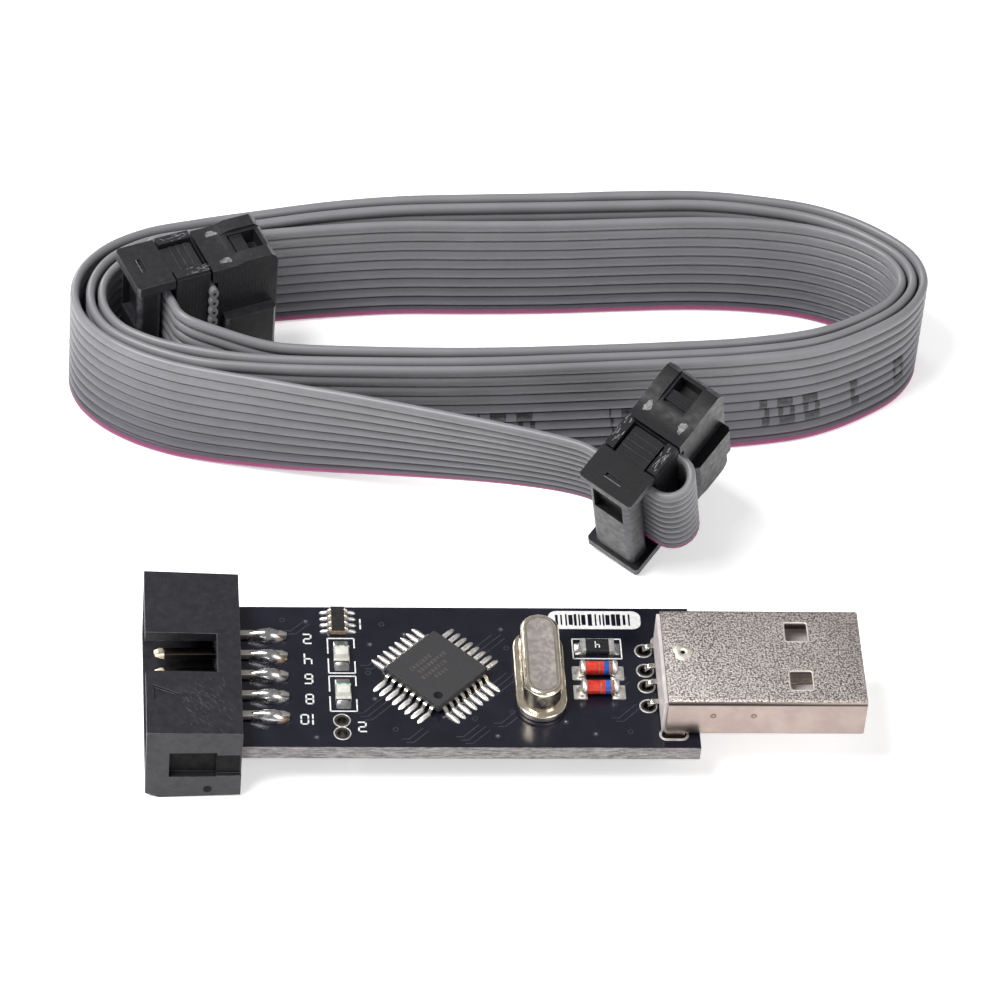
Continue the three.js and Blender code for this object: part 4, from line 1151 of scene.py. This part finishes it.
def make_header():
    dressed("header_shroud", SHROUD, 0.13, 3)
    for i, y in enumerate(HEADER_ROWS):
        for row, z in (("top", 1.27), ("bottom", -1.27)):
            rings = []
            for x, half in [(-7.9, 0.15), (-7.35, 0.32), (4.0, 0.32), (4.55, 0.16)]:
                corners = rounded(y, z, 2 * half, 2 * half, half * 0.2, 2)
                rings.append([(x, a, b) for a, b in corners])
            settled(lofted(rings), f"square_pin_{row}_{i + 1}", PINS, replaces=[f"header_pin_{row}_{i + 1}"],
                    slot="contact_gold")
    # painted shade: a dark dot laid in the moulding mark on the header's end
    dot = turned([(0.1, -10.19), (0.34, -10.205), (0.4, -10.19), (0.42, -10.1)], (-3.1, 0, -3.4), "Y", 20)
    settled(dot, "header_moulding_dot_shade", PAINTED_SHADE_PLASTIC, slot="black_plastic")
    # painted shade: dark sheets laid on the floors of the recesses in the header's ends
    shade_sheets = []
    for side in SIDES:
        for x0, x1, depth, z0, z1 in RECESS_SHADE_SHEETS:
            low, high = sorted((side * depth, side * (depth + 0.02)))
            shade_sheets.append(block((x0, low, z0), (x1, high, z1)))
    settled(joined(shade_sheets), "header_recess_shade", PAINTED_SHADE_PLASTIC, slot="black_plastic")
    slivers = []
    for _ in range(90):
        x, y = random.uniform(-5.6, -1.0), random.gauss(-5.9, 1.9)
        if not -9.6 < y < -3.0:
            continue
        angle, length = random.gauss(-0.9, 0.25), random.uniform(0.2, 0.9)
        z = SHROUD_FRONT + (x + SHROUD_DEPTH) * (SHROUD_REAR - SHROUD_FRONT) / SHROUD_DEPTH
        end = (x + length * math.cos(angle), y + length * math.sin(angle))
        slivers.append(track([(x, y), end], 0.025, z - 0.03, z + 0.012))
    settled(joined(slivers), "header_scratches", SCRATCH, slot="black_plastic")


# ---------------------------------------------------------------- USB plug

FLOOR, ROOF = TOP + 0.05, TOP + 4.55
WALL = 0.3
CONTACT_Z = FLOOR + WALL + 0.05 + 1.75
WINDOWS = {"x": USB_TIP - 6.05, "y": [USB_Y + 3.07, USB_Y - 3.07], "length": 2.1, "width": 2.3}


def make_shell():
    middle = (FLOOR + ROOF) / 2
    rings = []
    for x, inset in [
        (USB_REAR, 0.07), (USB_REAR + 0.05, 0.02), (USB_REAR + 0.15, 0), (USB_TIP - 0.16, 0),
        (USB_TIP - 0.05, 0.03), (USB_TIP, 0.1), (USB_TIP, 0.24), (USB_TIP - 0.1, 0.3), (USB_REAR, 0.3),
    ]:
        outline = rounded(USB_Y, middle, 12 - 2 * inset, 4.5 - 2 * inset, 0.55 - inset, 7)
        rings.append([(x, a, b) for a, b in outline])
    shell = hooped(rings)
    tabs = [block((39.65, y - WALL / 2, FLOOR - 2.9), (41.45, y + WALL / 2, middle)) for y in TAB_ROWS]
    carved(shell, tabs, "UNION")
    w = WINDOWS
    carved(shell, [
        pulled(rounded(w["x"], y, w["length"], w["width"], 0.18), FLOOR - 1, ROOF + 1) for y in w["y"]
    ])
    settled(shell, "plug_shell", NICKEL, bevel=0.05, segments=3, smooth=40, replaces=["usb_shell"],
            slot="nickel_shell")

    rims = []
    for y in w["y"]:
        for z, way in ((ROOF, 1), (FLOOR, -1)):
            outer = rounded(w["x"], y, w["length"] + 0.26, w["width"] + 0.26, 0.3)
            inner = rounded(w["x"], y, w["length"] - 0.02, w["width"] - 0.02, 0.18)
            crest = rounded(w["x"], y, w["length"] + 0.1, w["width"] + 0.1, 0.24)
            rims.append(hooped([
                [(a, b, z - 0.12 * way) for a, b in inner], [(a, b, z - 0.02 * way) for a, b in outer],
                [(a, b, z + 0.015 * way) for a, b in outer], [(a, b, z + 0.04 * way) for a, b in crest],
                [(a, b, z - 0.02 * way) for a, b in inner],
            ]))
    settled(joined(rims), "plug_window_rims", BURR, smooth=70, slot="nickel_shell")


def make_dimples():
    """The punched dimple on top and the two small ones in each side."""
    burr = []
    for i in range(24):
        a = 2 * math.pi * i / 24
        swell = 1 + 0.14 * math.sin(3 * a + 1) + 0.08 * math.sin(7 * a)
        profile = [(0.2, -0.05), (0.24, 0.08), (0.42, 0.15), (0.68 * swell, 0.13), (0.92 * swell, 0.04),
                   (0.98 * swell, -0.03)]
        burr.append([(41.35 + r * math.cos(a), USB_Y + 0.4 + r * math.sin(a), ROOF + h) for r, h in profile])
    settled(hooped(burr), "plug_dimple", BURR, smooth=70, finer=1, slot="nickel_shell")
    dots = []
    for side in (1, -1):
        face = USB_Y + side * 6
        for x in (43.9, 47.7):
            profile = [(0.08, -0.14), (0.1, -0.02), (0.18, 0.06), (0.28, 0.03), (0.33, -0.02)]
            dots.append(turned([(r, side * h) for r, h in profile], (x, face, ROOF - 1.75), "Y", 20))
    settled(joined(dots), "plug_side_dimples", STAIN, smooth=60, slot="nickel_shell")
    # painted shade: a dark disc laid in the dimple's hole
    holes = [turned([(0.02, 0.02), (0.22, 0.04), (0.22, 0.07)], (41.35, USB_Y + 0.4, ROOF), steps=5)]
    settled(joined(holes), "plug_dimple_hole_shade", PAINTED_SHADE_PLASTIC, slot="nickel_shell")


def make_plug_inside():
    dressed("usb_tongue", WHITE, 0.05)
    drop, low, r = USB_REAR + 0.9, FLOOR + WALL + 0.3, 0.6
    strip = [(USB_TIP - 1.6, CONTACT_Z - 0.08), (USB_TIP - 1.9, CONTACT_Z), (drop, CONTACT_Z)]
    centre = (USB_TAILS["x"] + r, low - r)
    angles = [math.pi / 2 * i / 14 for i in range(15)]
    bend = [(centre[0] - r * math.sin(a), centre[1] + r * math.cos(a)) for a in angles]
    tail = [(drop, low), *bend, (USB_TAILS["x"], -1.8)]
    for i, y in enumerate(USB_ROWS):
        step = block((drop - 0.12, y - 0.3, low), (drop + 0.12, y + ASIDE + 0.3, CONTACT_Z))
        along = moved(flat_wire(strip, 0.8, 0.25), Matrix.Translation((0, y, 0)))
        bent = moved(flat_wire(tail, 0.6, 0.25), Matrix.Translation((0, y + ASIDE, 0)))
        settled(joined([along, step, bent]), f"plug_contact_{i + 1}", TIN, bevel=0.05,
                replaces=[f"usb_contact_{i + 1}"], slot="contact_gold")


# ---------------------------------------------------------------- cable sockets

END, PLATE, LEVEL = 8.65, 8.5, 8.3  # highest points, strain relief and plain faces of a socket's ends
SIDES = (1, -1)


def slab(x0, x1, y0, y1, side, z0, z1):
    """A block at one end of a socket, its heights measured outwards from the middle."""
    low, high = sorted((side * z0, side * z1))
    return block((x0, y0, low), (x1, y1, high))


def socket_body():
    t = SOCKET_HALF
    outline = [(8.4, -LEVEL), (14.3, -LEVEL), (14.7, -LEVEL + 0.5), (14.7, LEVEL - 0.5), (14.3, LEVEL),
               (8.4, LEVEL)]
    body = pulled(outline, -t, t, "Y")
    added = [slab(7.85, 8.6, -t, t, side, 6.7, LEVEL) for side in SIDES]
    key = [(9.0, -t + 0.1), (9.0, -t - 0.8), (9.3, -t - 1.1), (14.0, -t - 1.1), (14.3, -t - 0.8),
           (14.3, -t + 0.1)]
    added.append(pulled(key, -2.3, 2.3))
    for side in SIDES:
        for lean in SIDES:
            y0, y1 = sorted((lean * 1.55, lean * t))
            rail = pulled([(10.3, 0), (11.3, END - LEVEL), (14.0, END - LEVEL), (14.5, -0.1), (14.5, -0.4),
                           (10.3, -0.4)], y0, y1, "Y")
            to_end = Matrix.Translation((0, 0, side * LEVEL)) @ Matrix.Scale(side, 4, (0, 0, 1))
            added.append(moved(rail, to_end))
    for piece in added:
        outwards(piece)
    carved(body, added, "UNION")
    tools = []
    for side in SIDES:
        tools += [slab(12.5, 13.9, -1.25, 1.25, side, LEVEL - 1.8, END + 1),
                  slab(10.9, 12.6, -1.25, 1.25, side, LEVEL - 0.28, END + 1),
                  slab(11.0, 11.25, -1.25, 1.25, side, LEVEL - 0.6, END + 1)]
    for z in HEADER_ROWS:
        for y in (1.27, -1.27):
            mouth = [(a + y, b + z) for a, b in rounded(0, 0, 1.5, 1.5, 0.1, 2)]
            throat = [(a + y, b + z) for a, b in rounded(0, 0, 0.9, 0.9, 0.1, 2)]
            tools.append(lofted([[(x, a, b) for a, b in ring] for x, ring in (
                (9.2, throat), (14.3, throat), (14.72, mouth), (15.2, mouth))]))
    return carved(body, tools)


def socket_cover():
    t = SOCKET_HALF
    cover = block((4.1, -t, -LEVEL), (7.3, t, LEVEL))
    added = [slab(7.2, 7.55, -t, t, side, 6.7, LEVEL) for side in SIDES]
    for side in SIDES:
        for lean in SIDES:
            y0, y1 = sorted((lean * 2.0, lean * 2.98))
            added.append(slab(4.05, 7.5, y0, y1, side, LEVEL - 0.3, END))
    carved(cover, added, "UNION")
    return carved(cover, [slab(3, 7.5, -2.0, 2.0, side, 7.6, END + 1) for side in SIDES])


def socket_relief():
    t = SOCKET_HALF
    bar = pulled(rounded(1.6, 0, 2.6, 4.7, 0.75, 6), -7.4, 7.4)
    added = []
    for side in SIDES:
        plate = [(0.25, -t), (0, -t + 0.25), (0, t - 0.25), (0.25, t), (3.9, t), (3.9, -t)]
        low, high = sorted((side * 7.35, side * PLATE))
        added += [pulled(plate, low, high), slab(3.8, 7.2, -1.7, 1.7, side, 7.9, LEVEL)]
        added += [slab(5.0 + k, 5.35 + k, -1.7, 1.7, side, LEVEL - 0.1, LEVEL + 0.07) for k in (0, 0.75, 1.5)]
    carved(bar, added, "UNION")
    tools = [slab(1.35, 1.75, -0.95, 0.95, side, PLATE - 0.3, END + 1) for side in SIDES]
    return carved(bar, [*tools, slab(-1, 1.1, -1.7, 1.7, 1, 2.2, 7.3)])


def scuffs():
    """Paler rubbed spots: moulding ovals on the body, torn edges on the cover's latches."""
    spots = []
    for side in SIDES:
        for y in (2.0, -2.0):
            phase = random.uniform(0, 6)
            oval = []
            for i in range(24):
                a = 2 * math.pi * i / 24
                r = 1 + 0.16 * math.sin(3 * a + phase) + 0.1 * math.sin(7 * a + 2 * phase)
                oval.append((9.6 + 0.62 * r * math.cos(a), y + 0.36 * r * math.sin(a)))
            low, high = sorted((side * (LEVEL - 0.02), side * (LEVEL + 0.02)))
            spots.append(pulled(oval, low, high))
            for _ in range(16):
                x, dy = random.uniform(4.3, 7.2), random.uniform(-0.4, 0.4)
                length = random.uniform(0.2, 0.75)
                end = (x + length, y * 1.24 + dy + random.uniform(-0.12, 0.12))
                low, high = sorted((side * (END - 0.02), side * (END + 0.015)))
                spots.append(track([(x, y * 1.24 + dy), end], random.uniform(0.03, 0.08), low, high))
    return joined(spots)


def relief_marks():
    """The worn edge of the slot in each end plate of a strain relief."""
    strips = []
    for side in SIDES:
        low, high = sorted((side * (PLATE - 0.02), side * (PLATE + 0.012)))
        strips.append(track([(1.28, -0.95), (1.28, 0.95)], 0.06, low, high))
    return joined(strips)


def make_socket(letter, place, black):
    body, cover, relief = (f"socket_{letter}_{part}" for part in ("body", "cover", "strain_relief"))
    options = {"place": place, "bevel": 0.12, "segments": 3, "slot": "black_plastic"}
    pieces = [
        settled(socket_body(), f"connector_{letter}_body", black, "cable", replaces=[body], **options),
        settled(socket_cover(), f"connector_{letter}_cover", black, "cable", replaces=[cover], **options),
        settled(socket_relief(), f"connector_{letter}_relief", black, f"relief_{letter}", replaces=[relief],
                **options),
    ]
    options["bevel"] = 0.0
    pieces.append(settled(scuffs(), f"connector_{letter}_scuffs", SCUFF, "cable", **options))
    marks = f"connector_{letter}_relief_marks"
    pieces.append(settled(relief_marks(), marks, SCUFF, f"relief_{letter}", **options))
    springs = []
    for z in HEADER_ROWS:
        for y in (1.27, -1.27):
            for lean in SIDES:
                path = [(9.4, 0.4 * lean), (12.2, 0.34 * lean), (13.0, 0.2 * lean), (13.6, 0.34 * lean)]
                springs.append(moved(flat_wire(path, 0.6, 0.1), Matrix.Translation((0, y, z))))
    contacts = f"connector_{letter}_contacts"
    pieces.append(settled(joined(springs), contacts, GOLD, "cable", place, slot="contact_gold"))
    return pieces


def make_cores():
    """The cut wires in the ribbon's two ends."""
    for letter, place, side in (("a", SOCKET_A, 1), ("b", SOCKET_B, -1)):
        y = -side * (SOCKET_HALF + 0.5)
        profile = [(0.02, -side * 0.012), (0.17, -side * 0.012), (0.2, side * 0.2)]
        cores = [turned(profile, (SLIT_X, y, (k - 4.5) * WAY), "Y", 14) for k in range(WAYS)]
        settled(joined(cores), f"ribbon_cores_{letter}", COPPER, "cable", place, slot="ribbon_pvc")


dressed("pcb", MASK, 0.04)
make_print()
make_tracks()
make_pads()
make_solder()
make_chip()
make_crystal()
make_underside()
make_array()
make_lamps()
make_marker_resistor()
make_diodes()
make_header()
make_shell()
make_dimples()
make_plug_inside()
make_cores()
connectors = make_socket("a", SOCKET_A, BLACK_A) + make_socket("b", SOCKET_B, BLACK_B)
make_ribbon()

# ---------------------------------------------------------------- stage


def make_stage():
    floor = shape([(-900, -900, 0), (900, -900, 0), (900, 900, 0), (-900, 900, 0)], [(0, 1, 2, 3)])
    floor.name = "floor"
    floor.data.transform(Matrix.Scale(MM, 4))
    s = Surface("floor_white", Base_Color=(0.93, 0.93, 0.93), Roughness=0.9, Emission_Color=(1.0, 1.0, 1.0),
                Emission_Strength=0.45)
    floor.data.materials.append(s.material)


LIT_AT = Vector((0, 20, 0))  # what every light faces


def make_light(name, place, size, power):
    data = bpy.data.lights.new(name, "AREA")
    data.shape, data.size, data.energy = "DISK", size * MM, power
    light = bpy.data.objects.new(name, data)
    light.location = Vector(place) * MM
    light.rotation_euler = (LIT_AT - Vector(place)).to_track_quat("-Z", "Y").to_euler()
    bpy.context.scene.collection.objects.link(light)


make_stage()
make_light("key", (-200, -60, 380), 240, 2.3)
make_light("fill", (260, -300, 240), 320, 0.7)
make_light("back", (-260, 420, 160), 200, 0.8)
world = bpy.data.worlds.new("white_room")
world.use_nodes = True
world.node_tree.nodes["Background"].inputs["Color"].default_value = (1, 1, 1, 1)
world.node_tree.nodes["Background"].inputs["Strength"].default_value = 0.3
bpy.context.scene.world = world
bpy.context.scene.view_settings.view_transform = "Standard"
